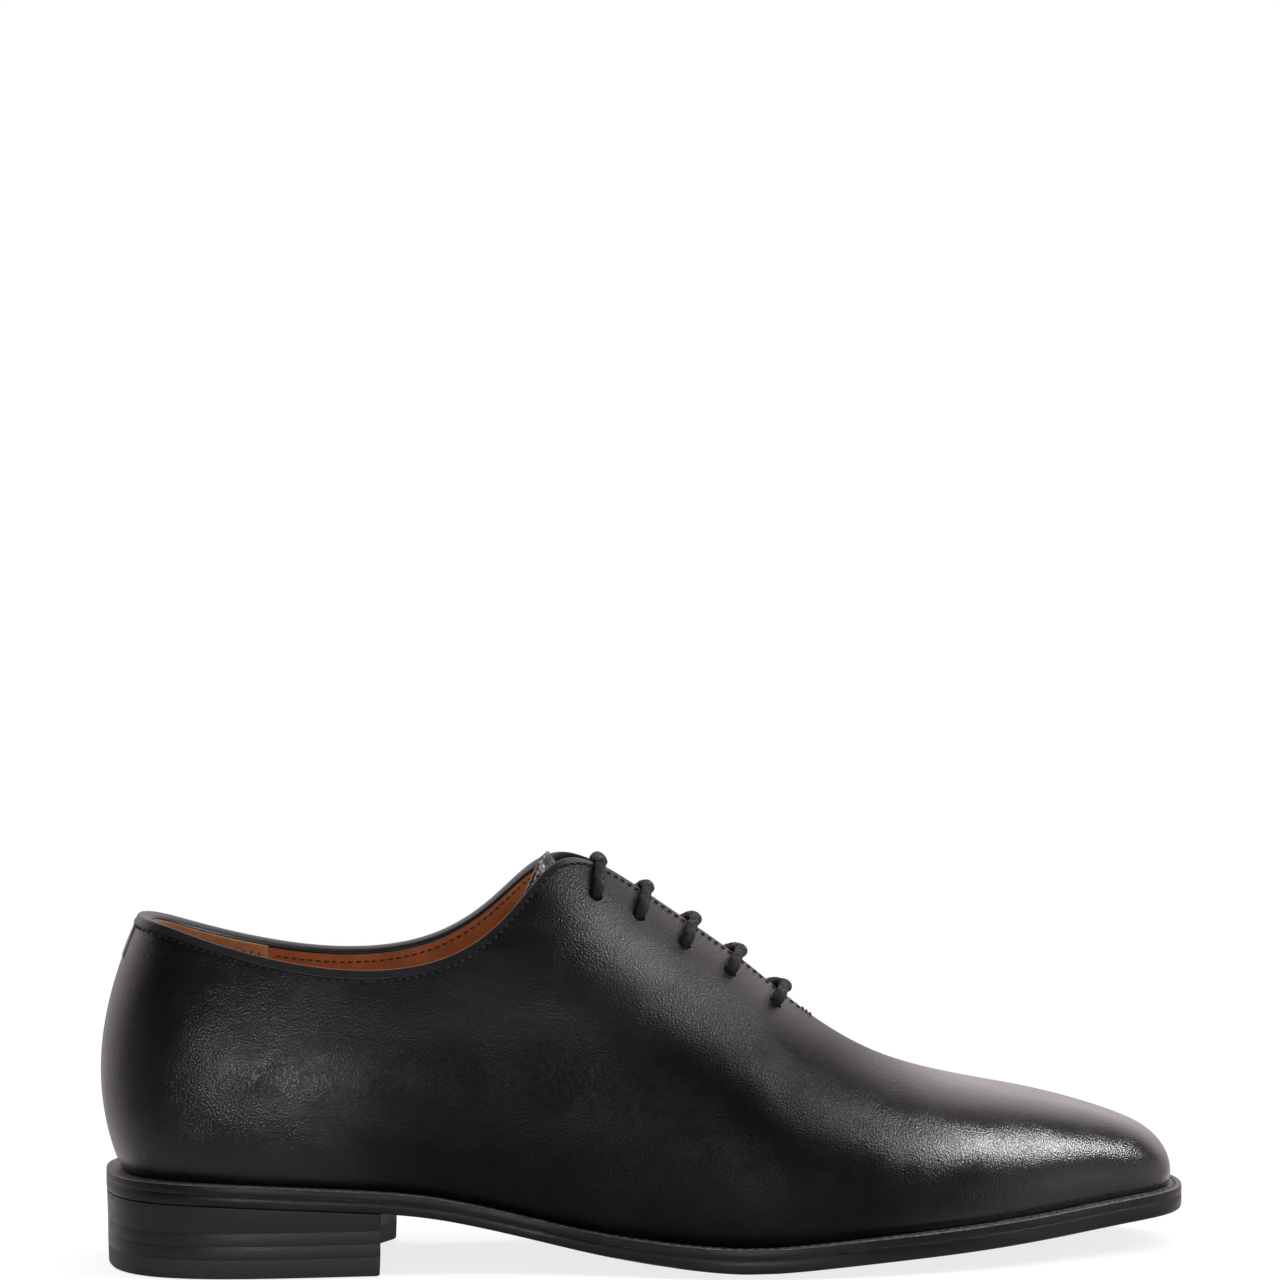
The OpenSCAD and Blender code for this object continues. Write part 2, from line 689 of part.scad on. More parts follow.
module heel_lifts() {
    color("#201f20")
    difference() {
        for (k = [0, 1]) {
            z = top_lift_t + gap + k * (lift_t + gap);
            heel_slice(z, z + lift_t - 0.001, 0.35);
        }
        nail_holes();
    }
}

module top_lift() {
    color("#171717")
    difference() {
        heel_slice(0, top_lift_t, 0.5);
        pin_holes();
    }
}

// Nails through the lifts, in a ring round the seat
nail_r = 1.1;
function nail_places() =
    [for (s = [-0.24, -0.165, -0.085, 0, 0.085, 0.165, 0.24]) feather(s) - outward(s) * 8];
module nail_holes() {
    for (p = nail_places()) translate([p[0], p[1], 1]) cylinder(r = nail_r + 0.05, h = 40);
}
module heel_nails() {
    color("#b08d4a")
    for (p = nail_places())
        translate([p[0], p[1], top_lift_t + 1])
            cylinder(r = nail_r, h = 11);
}

// Short pins that hold the rubber top lift
pin_r = 0.8;
pin_x = [-24, -9, 6, 21];
module pin_holes() {
    for (x = pin_x, y = [-13, 13]) translate([x, y, 0.6]) cylinder(r = pin_r + 0.05, h = 20);
}
module top_lift_pins() {
    color("#b08d4a")
    for (x = pin_x, y = [-13, 13])
        translate([x, y, 0.8])
            cylinder(r = pin_r, h = top_lift_t - 1);
}

upper_back();
upper_toe();
heel_tab();
topline_binding();
heel_counter();
toe_puff();
facing_stays();
blind_eyelets();
quarter_lining();
heel_lining();
vamp_lining();
tongue_leather();
tongue_lining();
lace();
aglets();
insole_back();
insole_toe();
sock_lining();
insole_rib_back();
insole_rib_toe();
cork_filler_back();
cork_filler_toe();
shank();
welt_back();
welt_toe();
outsole_back();
outsole_toe();
heel_base();
heel_lifts();
top_lift();
heel_nails();
top_lift_pins();
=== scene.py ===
"""Leather oxford shoe: the visual model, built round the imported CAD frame."""

import math

import bmesh
import bpy
import numpy as np
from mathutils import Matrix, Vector


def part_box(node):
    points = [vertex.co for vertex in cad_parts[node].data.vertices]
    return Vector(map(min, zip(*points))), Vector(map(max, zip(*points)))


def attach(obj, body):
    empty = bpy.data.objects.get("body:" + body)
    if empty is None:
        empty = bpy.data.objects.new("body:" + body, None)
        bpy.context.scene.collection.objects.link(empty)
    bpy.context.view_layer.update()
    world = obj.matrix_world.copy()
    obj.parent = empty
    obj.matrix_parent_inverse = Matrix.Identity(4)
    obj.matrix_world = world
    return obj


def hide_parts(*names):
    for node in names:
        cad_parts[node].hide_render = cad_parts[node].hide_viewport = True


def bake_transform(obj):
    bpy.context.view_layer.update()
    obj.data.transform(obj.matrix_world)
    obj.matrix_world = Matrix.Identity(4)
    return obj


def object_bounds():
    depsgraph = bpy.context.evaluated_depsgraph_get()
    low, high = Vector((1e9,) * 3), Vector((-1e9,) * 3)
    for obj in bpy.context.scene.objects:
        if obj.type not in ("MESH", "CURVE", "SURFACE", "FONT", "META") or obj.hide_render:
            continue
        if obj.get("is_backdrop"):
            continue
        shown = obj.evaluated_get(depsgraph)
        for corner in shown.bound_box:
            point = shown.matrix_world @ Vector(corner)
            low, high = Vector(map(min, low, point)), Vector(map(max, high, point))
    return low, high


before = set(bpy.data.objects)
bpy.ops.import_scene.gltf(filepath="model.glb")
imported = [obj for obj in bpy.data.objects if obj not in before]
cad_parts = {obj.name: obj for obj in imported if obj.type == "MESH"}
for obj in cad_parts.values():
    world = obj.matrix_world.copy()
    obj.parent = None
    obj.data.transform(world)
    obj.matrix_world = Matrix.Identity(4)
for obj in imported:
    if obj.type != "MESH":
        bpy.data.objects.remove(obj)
cad_low, cad_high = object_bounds()

HEEL = "heel_part"
TONGUE = "tongue"

# ---- The last: the same stations and curves as the CAD part, in millimetres.
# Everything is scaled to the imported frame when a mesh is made.

# Feather line from the back seam to the toe: x, lateral y, medial y
FEATHER = np.array([
    [-34.8, 0, 0], [-33.5, -14, 14], [-25, -24, 23.5], [-10, -29, 28], [10, -30, 28.5], [32, -29.5, 26.5],
    [54, -29.5, 23], [72, -30.5, 21.5], [86, -32.5, 23.5], [97, -35.5, 27], [108, -38.5, 31],
    [124, -43.5, 38.5], [142, -46.8, 45], [160, -47, 47.5], [180, -45, 46.5], [202, -40, 42], [224, -32, 35],
    [244, -21.5, 27.5], [262.5, -14, 20], [265.8, 3, 3],
])
# Top edge of the upper: x, half width, height, sideways shift of the middle
TOP_EDGE = np.array([
    [-29.6, 0, 98.2, 0], [-29, 9, 98, 0], [-23, 16.5, 97, 0], [-10, 22, 92.2, 0], [10, 25.5, 86.8, 0],
    [32, 26.5, 83.8, 0], [54, 25.5, 86, 0], [70, 22, 95.5, 0], [81, 16, 108.5, 0], [90, 7, 115.2, 0],
    [103, 1.8, 110.6, 0], [122, 1.4, 97, 0], [142, 1.2, 83.4, 0], [160, 0, 66.8, 0.3], [180, 0, 54.8, 0.8],
    [202, 0, 48.6, 1.5], [224, 0, 44.6, 2.2], [239, 0, 40.3, 2.8], [247, 0, 37.4, 3], [249, 0, 36.6, 3],
])
# Section of the upper: top slope, reach of the arc in degrees, squareness, bulge
SECTION = np.array([
    [0, 38, 1, 6.8], [0, 38, 1, 6.5], [0, 38, 1, 6], [0, 36, 1, 5], [0, 36, 1, 4.5], [0, 38, 1, 5],
    [0, 42, 1, 6], [0, 48, 1, 6.5], [0, 57, 1, 6.5], [0, 66, 1, 6], [-0.3, 70, 0.98, 5.5],
    [-0.65, 71, 0.98, 5], [-0.7, 74, 1, 4], [-0.65, 80, 1.02, 3.2], [-0.42, 88, 1, 2.6],
    [-0.24, 90, 0.92, 2.2], [-0.2, 90, 0.8, 2], [-0.24, 90, 0.68, 1.6], [-0.3, 90, 0.62, 1.4],
    [-0.3, 90, 0.6, 1.4],
])
# Underside of the outsole at even steps along its length
SOLE_PROFILE = np.array([20.8, 20.8, 19.6, 18.2, 16.6, 11.4, 5.8, 2.2, -0.8, 0.9, 3.3, 5.2, 7.1, 9, 10.5])
SOLE_X = (-40.0, 270.0)
LAST = len(FEATHER) - 1

# Thicknesses (T), depths under the outer surface (D) and radii (R), in millimetres
UPPER_T = 1.4
LINING_D = 2.7
INSIDE_D = 3.7
TONGUE_D = 8.4
WELT_T = 2.5
INSOLE_T = 2.6
LACE_R = 1.6
HOLE_R = 1.95
LINING_HOLE_R = 2.7
# Height of the insole's underside over the welt
INSOLE_LIFT = 3.9
# Places on the last: s runs from the heel (0) to the toe (1), v from the feather line (0) to the top (1)
HOLE_S = [0.653, 0.617, 0.582, 0.545, 0.502]
HOLE_V = 0.858
THROAT_S = 0.684
TOPLINE_S = 0.478
LINING_SEAM_S = 0.197


def around(lateral, medial):
    """Rows for the closed loop toe, lateral side, heel, medial side."""
    return np.array([lateral[-i] if i < 0 else medial[i] for i in range(-LAST, LAST)])


FEATHER_LOOP = around(FEATHER[:, [0, 1]], FEATHER[:, [0, 2]])
TOP_LOOP = around(
    np.c_[TOP_EDGE[:, 0], TOP_EDGE[:, 3] - TOP_EDGE[:, 1], TOP_EDGE[:, 2]],
    np.c_[TOP_EDGE[:, 0], TOP_EDGE[:, 3] + TOP_EDGE[:, 1], TOP_EDGE[:, 2]],
)
SECTION_LOOP = around(SECTION, SECTION)


def b_spline(rows, u, closed=True):
    """Smooth curve near the rows of a table, at u counted in rows."""
    u = np.asarray(u, float)
    i = np.floor(u).astype(int)
    f = u - i
    if rows.ndim > 1:
        f = f[..., None]

    def row(k):
        return rows[(i + k) % len(rows)] if closed else rows[np.clip(i + k, 0, len(rows) - 1)]

    return (
        (1 - f) ** 3 * row(-1)
        + (3 * f**3 - 6 * f**2 + 4) * row(0)
        + (-3 * f**3 + 3 * f**2 + 3 * f + 1) * row(1)
        + f**3 * row(2)
    ) / 6


def feather(s):
    """Plan of the line where the upper meets the welt."""
    return b_spline(FEATHER_LOOP, np.asarray(s, float) * LAST + LAST)


def ramp(x, low, high):
    """0 below low, 1 above high, smooth between."""
    t = np.clip((np.asarray(x, float) - low) / (high - low), 0, 1)
    return t * t * (3 - 2 * t)


def sole_under(x, y=0.0):
    """Underside of the outsole; at the ball its edges stand a little off the ground."""
    x = np.asarray(x, float)
    u = (x - SOLE_X[0]) / (SOLE_X[1] - SOLE_X[0]) * (len(SOLE_PROFILE) - 1)
    cup = 1.4 * np.exp(-(((x - 152) / 42) ** 2)) * (np.asarray(y, float) / 48) ** 2
    return np.maximum(0, b_spline(SOLE_PROFILE, u, closed=False)) + cup


def outsole_top(x, y=0.0):
    """The outsole is 4.4 mm thick at the ball and 3.5 mm from the waist back."""
    return sole_under(x, y) + 4.4 - 0.9 * np.clip((130 - np.asarray(x, float)) / 40, 0, 1)


def welt_top(x, y=0.0):
    return outsole_top(x, y) + WELT_T


def outward(s):
    """Level direction away from the shoe, square to the feather line."""
    s = np.asarray(s, float)
    d = feather(s + 0.002) - feather(s - 0.002)
    n = np.stack([-d[..., 1], d[..., 0]], -1)
    return n / np.linalg.norm(n, axis=-1, keepdims=True)


def welt_reach(s):
    """How far the sole stands past the feather line: narrow in the waist."""
    a = np.abs(s)
    heel = 4.5 - (a - 0.1) * 7.3
    waist = 2.3 + (a - 0.4) * 10
    fore = 4.5 - (a - 0.62) * 2
    return np.where(a < 0.1, 4.5, np.where(a < 0.4, heel, np.where(a < 0.62, waist, fore)))


def last_point(s, v):
    """Outer surface: s from -1 (toe) over lateral, 0 (heel), medial to 1; v from 0 (feather) to 1 (top)."""
    s, v = np.broadcast_arrays(np.asarray(s, float), np.asarray(v, float))
    base = feather(s)
    top = b_spline(TOP_LOOP, s * LAST + LAST)
    section = b_spline(SECTION_LOOP, s * LAST + LAST)
    reach = np.radians(section[..., 1])
    a = v * reach
    power = section[..., 2]
    across = (1 - np.maximum(0, np.cos(a)) ** power) / (1 - np.maximum(0, np.cos(reach)) ** power)
    up = np.sin(a) / np.sin(reach)
    push = section[..., 3] * np.sin(np.pi * np.clip(v, 0, 1) ** 0.8)
    n = outward(s)
    x = base[..., 0] + (top[..., 0] - base[..., 0]) * across + n[..., 0] * push
    y = base[..., 1] + (top[..., 1] - base[..., 1]) * across + n[..., 1] * push
    z0 = welt_top(x, y)
    z1 = top[..., 2] + section[..., 0] * (x - top[..., 0])
    return np.stack([x, y, z0 + (z1 - z0) * up], -1)


def last_normal(s, v):
    """Unit normal of the outer surface, pointing out."""
    e = 0.003
    v = np.minimum(v, 1 - e)
    ds = last_point(s + e, v) - last_point(s - e, v)
    dv = last_point(s, v + e) - last_point(s, np.maximum(0.001, v - e))
    n = np.cross(dv, ds)
    return n / np.linalg.norm(n, axis=-1, keepdims=True)


def surface(s, v, depth=0.0):
    """A point of the last's surface, depth mm under it (over it when negative)."""
    s, v = np.broadcast_arrays(np.asarray(s, float), np.asarray(v, float))
    depth = np.asarray(depth, float)
    span = np.clip(np.minimum((np.abs(s) - 0.48) / 0.03, (0.76 - np.abs(s)) / 0.04), 0, 1)
    w = v - 0.0075 * np.maximum(0, depth) * span * np.clip(v, 0, 2) ** 8
    if depth.ndim:
        depth = depth[..., None]
    return last_point(s, w) - last_normal(s, w) * depth


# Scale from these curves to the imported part, whose driving sizes may have been changed
whole = np.linspace(-1, 1, 1601)
plan = feather(whole) + outward(whole) * welt_reach(whole)[:, None]
sole_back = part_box("outsole_back")
sole_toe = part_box("outsole_toe")
FIT = np.array([
    (sole_toe[1].x - sole_back[0].x) / np.ptp(plan[:, 0]),
    (max(sole_toe[1].y, sole_back[1].y) - min(sole_toe[0].y, sole_back[0].y)) / np.ptp(plan[:, 1]),
    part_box("upper_back")[1].z / last_point(whole, 1.0)[:, 2].max(),
])


def wall_length(s):
    """Length of the wall in mm from the feather line to the top, at one station."""
    p = last_point(float(s), np.linspace(0, 1, 60))
    return np.linalg.norm(np.diff(p, axis=0), axis=1).sum()


# ---- Meshes


def make(name, points, faces, material, slot, smooth_angle=50.0):
    """A mesh object from points in millimetres. Loose and double points are dropped."""
    mesh = bpy.data.meshes.new(name)
    mesh.from_pydata((np.asarray(points, float) * FIT).tolist(), [], faces)
    obj = bpy.data.objects.new(name, mesh)
    bpy.context.scene.collection.objects.link(obj)
    b = bmesh.new()
    b.from_mesh(mesh)
    bmesh.ops.remove_doubles(b, verts=b.verts, dist=2e-6)
    bmesh.ops.dissolve_degenerate(b, edges=b.edges, dist=1e-6)
    loose = [v for v in b.verts if not v.link_faces]
    bmesh.ops.delete(b, geom=loose, context="VERTS")
    bmesh.ops.recalc_face_normals(b, faces=b.faces)
    b.to_mesh(mesh)
    b.free()
    mesh.materials.append(material)
    finish_normals(obj, smooth_angle)
    return obj


def finish_normals(obj, angle=50.0):
    obj.data.shade_smooth()
    obj.data.set_sharp_from_angle(angle=math.radians(angle))


def apply_modifiers(obj, angle=50.0):
    """Put the result of the modifiers in the mesh itself."""
    bpy.context.view_layer.update()
    evaluated = obj.evaluated_get(bpy.context.evaluated_depsgraph_get())
    mesh = bpy.data.meshes.new_from_object(evaluated)
    obj.modifiers.clear()
    obj.data = mesh
    finish_normals(obj, angle)
    return obj


def bevel(obj, width_mm, segments=2, angle=40.0):
    m = obj.modifiers.new("bevel", "BEVEL")
    m.width = width_mm * 0.001
    m.segments = segments
    m.limit_method = "ANGLE"
    m.angle_limit = math.radians(angle)
    return apply_modifiers(obj, 35.0)


def grid_faces(rows, cols, close_rows=False, close_cols=False):
    """Four-sided faces between neighbours of a grid of points, stored row by row."""
    faces = []
    for i in range(rows if close_rows else rows - 1):
        here, ahead = i * cols, (i + 1) % rows * cols
        for j in range(cols if close_cols else cols - 1):
            k = (j + 1) % cols
            faces.append((here + j, here + k, ahead + k, ahead + j))
    return faces


def closed_shell(outer, inner):
    """Points and faces of the solid between two grids of points."""
    rows, cols = outer.shape[:2]
    n = rows * cols
    points = np.concatenate([outer.reshape(-1, 3), inner.reshape(-1, 3)])
    faces = grid_faces(rows, cols)
    faces += [tuple(n + k for k in reversed(f)) for f in grid_faces(rows, cols)]
    border = (
        [(0, j) for j in range(cols)]
        + [(i, cols - 1) for i in range(1, rows)]
        + [(rows - 1, j) for j in range(cols - 2, -1, -1)]
        + [(i, 0) for i in range(rows - 2, 0, -1)]
    )
    ring = [i * cols + j for i, j in border]
    faces += [(a, b, b + n, a + n) for a, b in zip(ring, ring[1:] + ring[:1])]
    return points, faces


def sweep(sections, closed=False):
    """Points and faces of a solid made of equal rings: an open one gets end caps."""
    rows, cols = sections.shape[:2]
    faces = grid_faces(rows, cols, close_rows=closed, close_cols=True)
    if not closed:
        faces.append(tuple(range(cols - 1, -1, -1)))
        faces.append(tuple((rows - 1) * cols + k for k in range(cols)))
    return sections.reshape(-1, 3), faces


def unit(a):
    return a / np.linalg.norm(a, axis=-1, keepdims=True)


def resample(path, step):
    """Points at an even spacing along a dense path."""
    d = np.r_[0, np.cumsum(np.linalg.norm(np.diff(path, axis=0), axis=1))]
    count = max(2, int(round(d[-1] / step)) + 1)
    at = np.linspace(0, d[-1], count)
    return np.stack([np.interp(at, d, path[:, k]) for k in range(path.shape[1])], -1)


def frames_along(path):
    """Two steady side directions along a path."""
    t = unit(np.gradient(path, axis=0))
    u = np.zeros_like(t)
    w = np.array([1.0, 0, 0]) if abs(t[0][0]) < 0.9 else np.array([0, 1.0, 0])
    for i in range(len(path)):
        w = w - t[i] * (t[i] @ w)
        w = w / np.linalg.norm(w)
        u[i] = w
    return u, np.cross(t, u)


def bends(obj):
    """Put the placement of a piece that crosses the ball of the foot into its mesh; nothing bends it."""
    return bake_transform(obj)


# ---- Materials: node trees made from a few short helpers. Lengths are in metres.


class Nodes:
    """A node tree that is written as plain calls."""

    def __init__(self, tree):
        self.tree = tree

    def add(self, kind, **inputs):
        node = self.tree.nodes.new(kind)
        self.fill(node, inputs)
        return node

    def fill(self, node, inputs):
        for key, value in inputs.items():
            self.put(node.inputs[key.replace("_", " ")], value)

    def put(self, socket, value):
        if isinstance(value, bpy.types.NodeSocket):
            self.tree.links.new(value, socket)
        elif isinstance(value, tuple) and len(value) == 3 and socket.type == "RGBA":
            socket.default_value = (*value, 1)
        else:
            socket.default_value = value

    def math(self, operation, a, b=0.0):
        node = self.tree.nodes.new("ShaderNodeMath")
        node.operation = operation
        self.put(node.inputs[0], a)
        self.put(node.inputs[1], b)
        return node.outputs[0]

    def times(self, a, b):
        return self.math("MULTIPLY", a, b)

    def plus(self, a, b):
        return self.math("ADD", a, b)

    def span(self, value, low, high, out_low=0.0, out_high=1.0):
        """Smooth change from out_low to out_high while the value goes from low to high."""
        node = self.add(
            "ShaderNodeMapRange", Value=value, From_Min=low, From_Max=high, To_Min=out_low, To_Max=out_high,
        )
        node.interpolation_type = "SMOOTHSTEP"
        return node.outputs["Result"]


class Look(Nodes):
    """A surface material."""

    def __init__(self, name):
        self.material = bpy.data.materials.new(name)
        self.material.use_nodes = True
        super().__init__(self.material.node_tree)
        self.shader = self.tree.nodes["Principled BSDF"]
        self.place = self.add("ShaderNodeTexCoord").outputs["Object"]

    def set(self, **inputs):
        self.fill(self.shader, inputs)

    def stretched(self, x=1.0, y=1.0, z=1.0):
        node = self.add("ShaderNodeMapping", Vector=self.place)
        node.inputs["Scale"].default_value = (x, y, z)
        return node.outputs["Vector"]

    def noise(self, size, detail=2.0, roughness=0.5, place=None):
        node = self.add("ShaderNodeTexNoise", Vector=place or self.place, Scale=1 / size, Detail=detail)
        node.inputs["Roughness"].default_value = roughness
        return node.outputs["Fac"]

    def cells(self, size, feature="F1"):
        node = self.add("ShaderNodeTexVoronoi", Vector=self.place, Scale=1 / size)
        node.feature = feature
        return node.outputs["Distance"]

    def mix(self, amount, a, b):
        node = self.tree.nodes.new("ShaderNodeMix")
        node.data_type = "RGBA"
        self.put(node.inputs[0], amount)
        self.put(node.inputs[6], a)
        self.put(node.inputs[7], b)
        return node.outputs[2]

    def bump(self, height, depth, strength=1.0, under=None):
        node = self.add("ShaderNodeBump", Height=height, Distance=depth, Strength=strength)
        if under is not None:
            self.put(node.inputs["Normal"], under)
        return node.outputs["Normal"]


def black_calf():
    """Polished smooth calf: fine pores, an uneven hide, and wax built up at the toe and heel."""
    k = Look("black_calf")
    place = k.add("ShaderNodeSeparateXYZ", Vector=k.place)
    along = place.outputs["X"]
    toe = k.span(along, 0.15, 0.22)
    heel = k.span(along, 0.0, 0.06, 1.0, 0.0)
    polish = k.math("MAXIMUM", toe, k.times(heel, 0.5))
    # The middle of the sides, low down, is brushed least
    brushed = k.math("MAXIMUM", heel, k.span(place.outputs["Z"], 0.055, 0.08))
    brushed = k.math("MAXIMUM", brushed, k.times(toe, 0.5))
    patch = k.noise(0.016, 3, 0.55)
    loose = k.span(patch, 0.42, 0.72)
    pores = k.times(k.cells(0.0005), 0.8)
    grain = k.plus(pores, k.times(k.noise(0.0004, 3, 0.6), 0.5))
    depth = k.times(k.span(patch, 0.35, 0.7, 0.6, 1.0), k.span(toe, 0, 1, 1.0, 0.55))
    # Shallow wrinkles across the shoe where it bends
    flexed = k.times(k.span(along, 0.14, 0.16), k.span(along, 0.185, 0.21, 1.0, 0.0))
    wrinkles = k.noise(0.02, 2, 0.5, k.stretched(1.0, 0.6, 0.6))
    normal = k.bump(k.noise(0.03, 2, 0.5), 0.0012, 0.12)
    normal = k.bump(wrinkles, 0.0025, k.times(flexed, 0.2), normal)
    normal = k.bump(k.noise(0.0035, 2, 0.5), 0.00016, k.span(toe, 0, 1, 0.25, 0.1), normal)
    normal = k.bump(grain, 0.00016, depth, normal)
    k.set(
        Base_Color=k.mix(loose, (0.0018, 0.0017, 0.0018), (0.003, 0.0028, 0.0029)),
        Roughness=k.span(k.noise(0.02, 3), 0.25, 0.75, 0.33, 0.4),
        Specular_IOR_Level=k.span(brushed, 0, 1, 0.1, 0.38),
        Normal=normal,
        Coat_Weight=k.span(polish, 0, 1, 0.09, 0.95),
        Coat_Roughness=k.plus(k.span(patch, 0.3, 0.7, 0.0, 0.03), k.span(toe, 0, 1, 0.13, 0.055)),
        Coat_Normal=normal,
    )
    return k.material


def edge_leather():
    """Folded narrow leather of the top line, finely wrinkled."""
    k = Look("binding_leather")
    grain = k.noise(0.0007, 3, 0.6)
    normal = k.bump(k.noise(0.0025, 2), 0.00015, 0.4)
    k.set(
        Base_Color=k.mix(k.noise(0.006), (0.004, 0.004, 0.005), (0.008, 0.008, 0.0095)),
        Roughness=k.span(grain, 0.3, 0.7, 0.3, 0.42),
        Normal=k.bump(grain, 0.0001, 0.6, normal),
        Specular_IOR_Level=0.4,
    )
    return k.material


def grain_leather():
    """Pebbled black leather of the tongue."""
    k = Look("tongue_leather_grain")
    crease = k.cells(0.0017, "DISTANCE_TO_EDGE")
    bead = k.span(crease, 0.0, 0.28)
    normal = k.bump(bead, 0.00035, 0.75)
    normal = k.bump(k.noise(0.0004, 2), 0.00005, 0.4, normal)
    # The creases between the pebbles are painted darker and the tops lighter: painted shade
    k.set(
        Base_Color=k.mix(bead, (0.004, 0.004, 0.005), (0.014, 0.014, 0.016)),
        Roughness=k.span(bead, 0, 1, 0.55, 0.3),
        Normal=normal,
        Coat_Weight=0.2,
        Coat_Roughness=0.2,
    )
    return k.material


def lining_leather(name, dark, light, rough=0.5):
    """Smooth vegetable-tanned lining with pores, soft creases and a tone that varies at random."""
    k = Look(name)
    tone = k.noise(0.014, 4, 0.6)
    pores = k.cells(0.0009)
    normal = k.bump(k.noise(0.006, 3), 0.0005, 0.35)
    normal = k.bump(pores, 0.0001, 0.4, normal)
    k.set(
        Base_Color=k.mix(k.span(tone, 0.3, 0.7), dark, light),
        Roughness=k.span(pores, 0.1, 0.7, rough, rough + 0.12),
        Normal=normal,
        Specular_IOR_Level=0.4,
    )
    return k.material


def suede():
    k = Look("heel_suede")
    nap = k.noise(0.0005, 4, 0.7)
    brushed = k.noise(0.009, 3, 0.6)
    tone = k.plus(k.times(nap, 0.5), k.times(brushed, 0.5))
    k.set(
        Base_Color=k.mix(k.span(tone, 0.35, 0.65), (0.3, 0.135, 0.055), (0.5, 0.25, 0.115)),
        Roughness=0.95,
        Normal=k.bump(nap, 0.00035, 0.6),
        Sheen_Weight=0.35,
        Sheen_Roughness=0.45,
    )
    return k.material


def waxed_cord():
    """Tightly braided cotton cord; wax glints on a few strands."""
    k = Look("waxed_cord")
    fibre = k.noise(0.00045, 3, 0.7)
    wax = k.span(k.noise(0.0012, 2), 0.55, 0.7)
    k.set(
        Base_Color=k.mix(fibre, (0.003, 0.003, 0.0033), (0.012, 0.0115, 0.012)),
        Roughness=k.span(wax, 0, 1, 0.7, 0.3),
        Normal=k.bump(fibre, 0.00022, 0.8),
        Specular_IOR_Level=0.4,
    )
    return k.material


def thread(name, dark, light):
    k = Look(name)
    twist = k.noise(0.0003, 2)
    k.set(Base_Color=k.mix(twist, dark, light), Roughness=0.55, Normal=k.bump(twist, 0.00008, 0.5))
    return k.material


def edge_ink():
    """Inked and waxed edge of the sole: fibres pressed along it."""
    k = Look("inked_sole_edge")
    along = k.stretched(0.12, 0.12, 1.0)
    fibres = k.noise(0.0006, 4, 0.65, along)
    smear = k.noise(0.004, 3, 0.6, along)
    k.set(
        Base_Color=k.mix(k.span(smear, 0.35, 0.7), (0.003, 0.0028, 0.003), (0.008, 0.007, 0.007)),
        Roughness=k.span(fibres, 0.3, 0.7, 0.34, 0.46),
        Specular_IOR_Level=0.3,
        Normal=k.bump(fibres, 0.00012, 0.45),
        Coat_Weight=0.05,
        Coat_Roughness=0.25,
    )
    return k.material


def welt_leather():
    """Grainy welt: black leather painted grey in patches of its grain, a painted highlight for the light its
    top ledge catches.
    """
    k = Look("welt_grain_painted_highlight")
    grain = k.noise(0.0011, 4, 0.7)
    pits = k.cells(0.0013)
    # Grey in patches all over the welt: painted highlight of the top ledge
    k.set(
        Base_Color=k.mix(k.span(grain, 0.45, 0.7), (0.04, 0.037, 0.036), (0.15, 0.14, 0.135)),
        Roughness=k.span(grain, 0.3, 0.7, 0.42, 0.6),
        Normal=k.bump(k.plus(grain, k.times(pits, 0.6)), 0.0002, 0.5),
    )
    return k.material


def sole_bottom():
    """Natural leather underside with the light scuffs of a shoe tried on indoors."""
    k = Look("sole_bottom_leather")
    along = k.stretched(0.35, 1.0, 1.0)
    tone = k.noise(0.02, 5, 0.6, along)
    scuff = k.span(k.noise(0.004, 5, 0.75, along), 0.58, 0.75)
    pores = k.cells(0.0008)
    base = k.mix(k.span(tone, 0.3, 0.7), (0.07, 0.047, 0.033), (0.12, 0.082, 0.057))
    k.set(
        Base_Color=k.mix(scuff, base, (0.2, 0.15, 0.11)),
        Roughness=k.span(tone, 0.3, 0.7, 0.42, 0.6),
        Normal=k.bump(pores, 0.0001, 0.4),
    )
    return k.material


def stacked_leather():
    """Heel leather: inked like the sole edge, with the faint lines of its boards."""
    k = Look("stacked_heel_leather")
    height = k.add("ShaderNodeSeparateXYZ", Vector=k.place).outputs["Z"]
    wavy = k.plus(height, k.times(k.noise(0.01, 2), 0.0005))
    share = k.math("FRACT", k.math("DIVIDE", wavy, 0.0037))
    off_line = k.span(k.math("ABSOLUTE", k.math("SUBTRACT", share, 0.5)), 0.0, 0.06)
    line = k.math("SUBTRACT", 1.0, off_line)
    fibres = k.noise(0.0006, 4, 0.65, k.stretched(0.12, 0.12, 1.0))
    relief = k.math("SUBTRACT", fibres, k.times(line, 0.25))
    k.set(
        Base_Color=k.mix(line, (0.011, 0.0105, 0.011), (0.008, 0.0075, 0.008)),
        Roughness=k.span(fibres, 0.3, 0.7, 0.36, 0.5),
        Specular_IOR_Level=0.3,
        Normal=k.bump(relief, 0.0001, 0.4),
        Coat_Weight=0.05,
        Coat_Roughness=0.3,
    )
    return k.material


def rubber():
    k = Look("heel_rubber_moulded")
    speckle = k.noise(0.0007, 4, 0.7)
    k.set(
        Base_Color=k.mix(speckle, (0.008, 0.008, 0.008), (0.02, 0.02, 0.019)),
        Roughness=k.span(speckle, 0.3, 0.7, 0.5, 0.68),
        Normal=k.bump(speckle, 0.00015, 0.5),
    )
    return k.material


def cork():
    k = Look("pressed_cork")
    grain = k.cells(0.0022)
    dark = k.span(k.noise(0.0016, 3, 0.7), 0.55, 0.7)
    base = k.mix(grain, (0.33, 0.19, 0.09), (0.5, 0.32, 0.17))
    k.set(Base_Color=k.mix(dark, base, (0.12, 0.06, 0.03)), Roughness=0.9, Normal=k.bump(grain, 0.0004, 0.6))
    return k.material


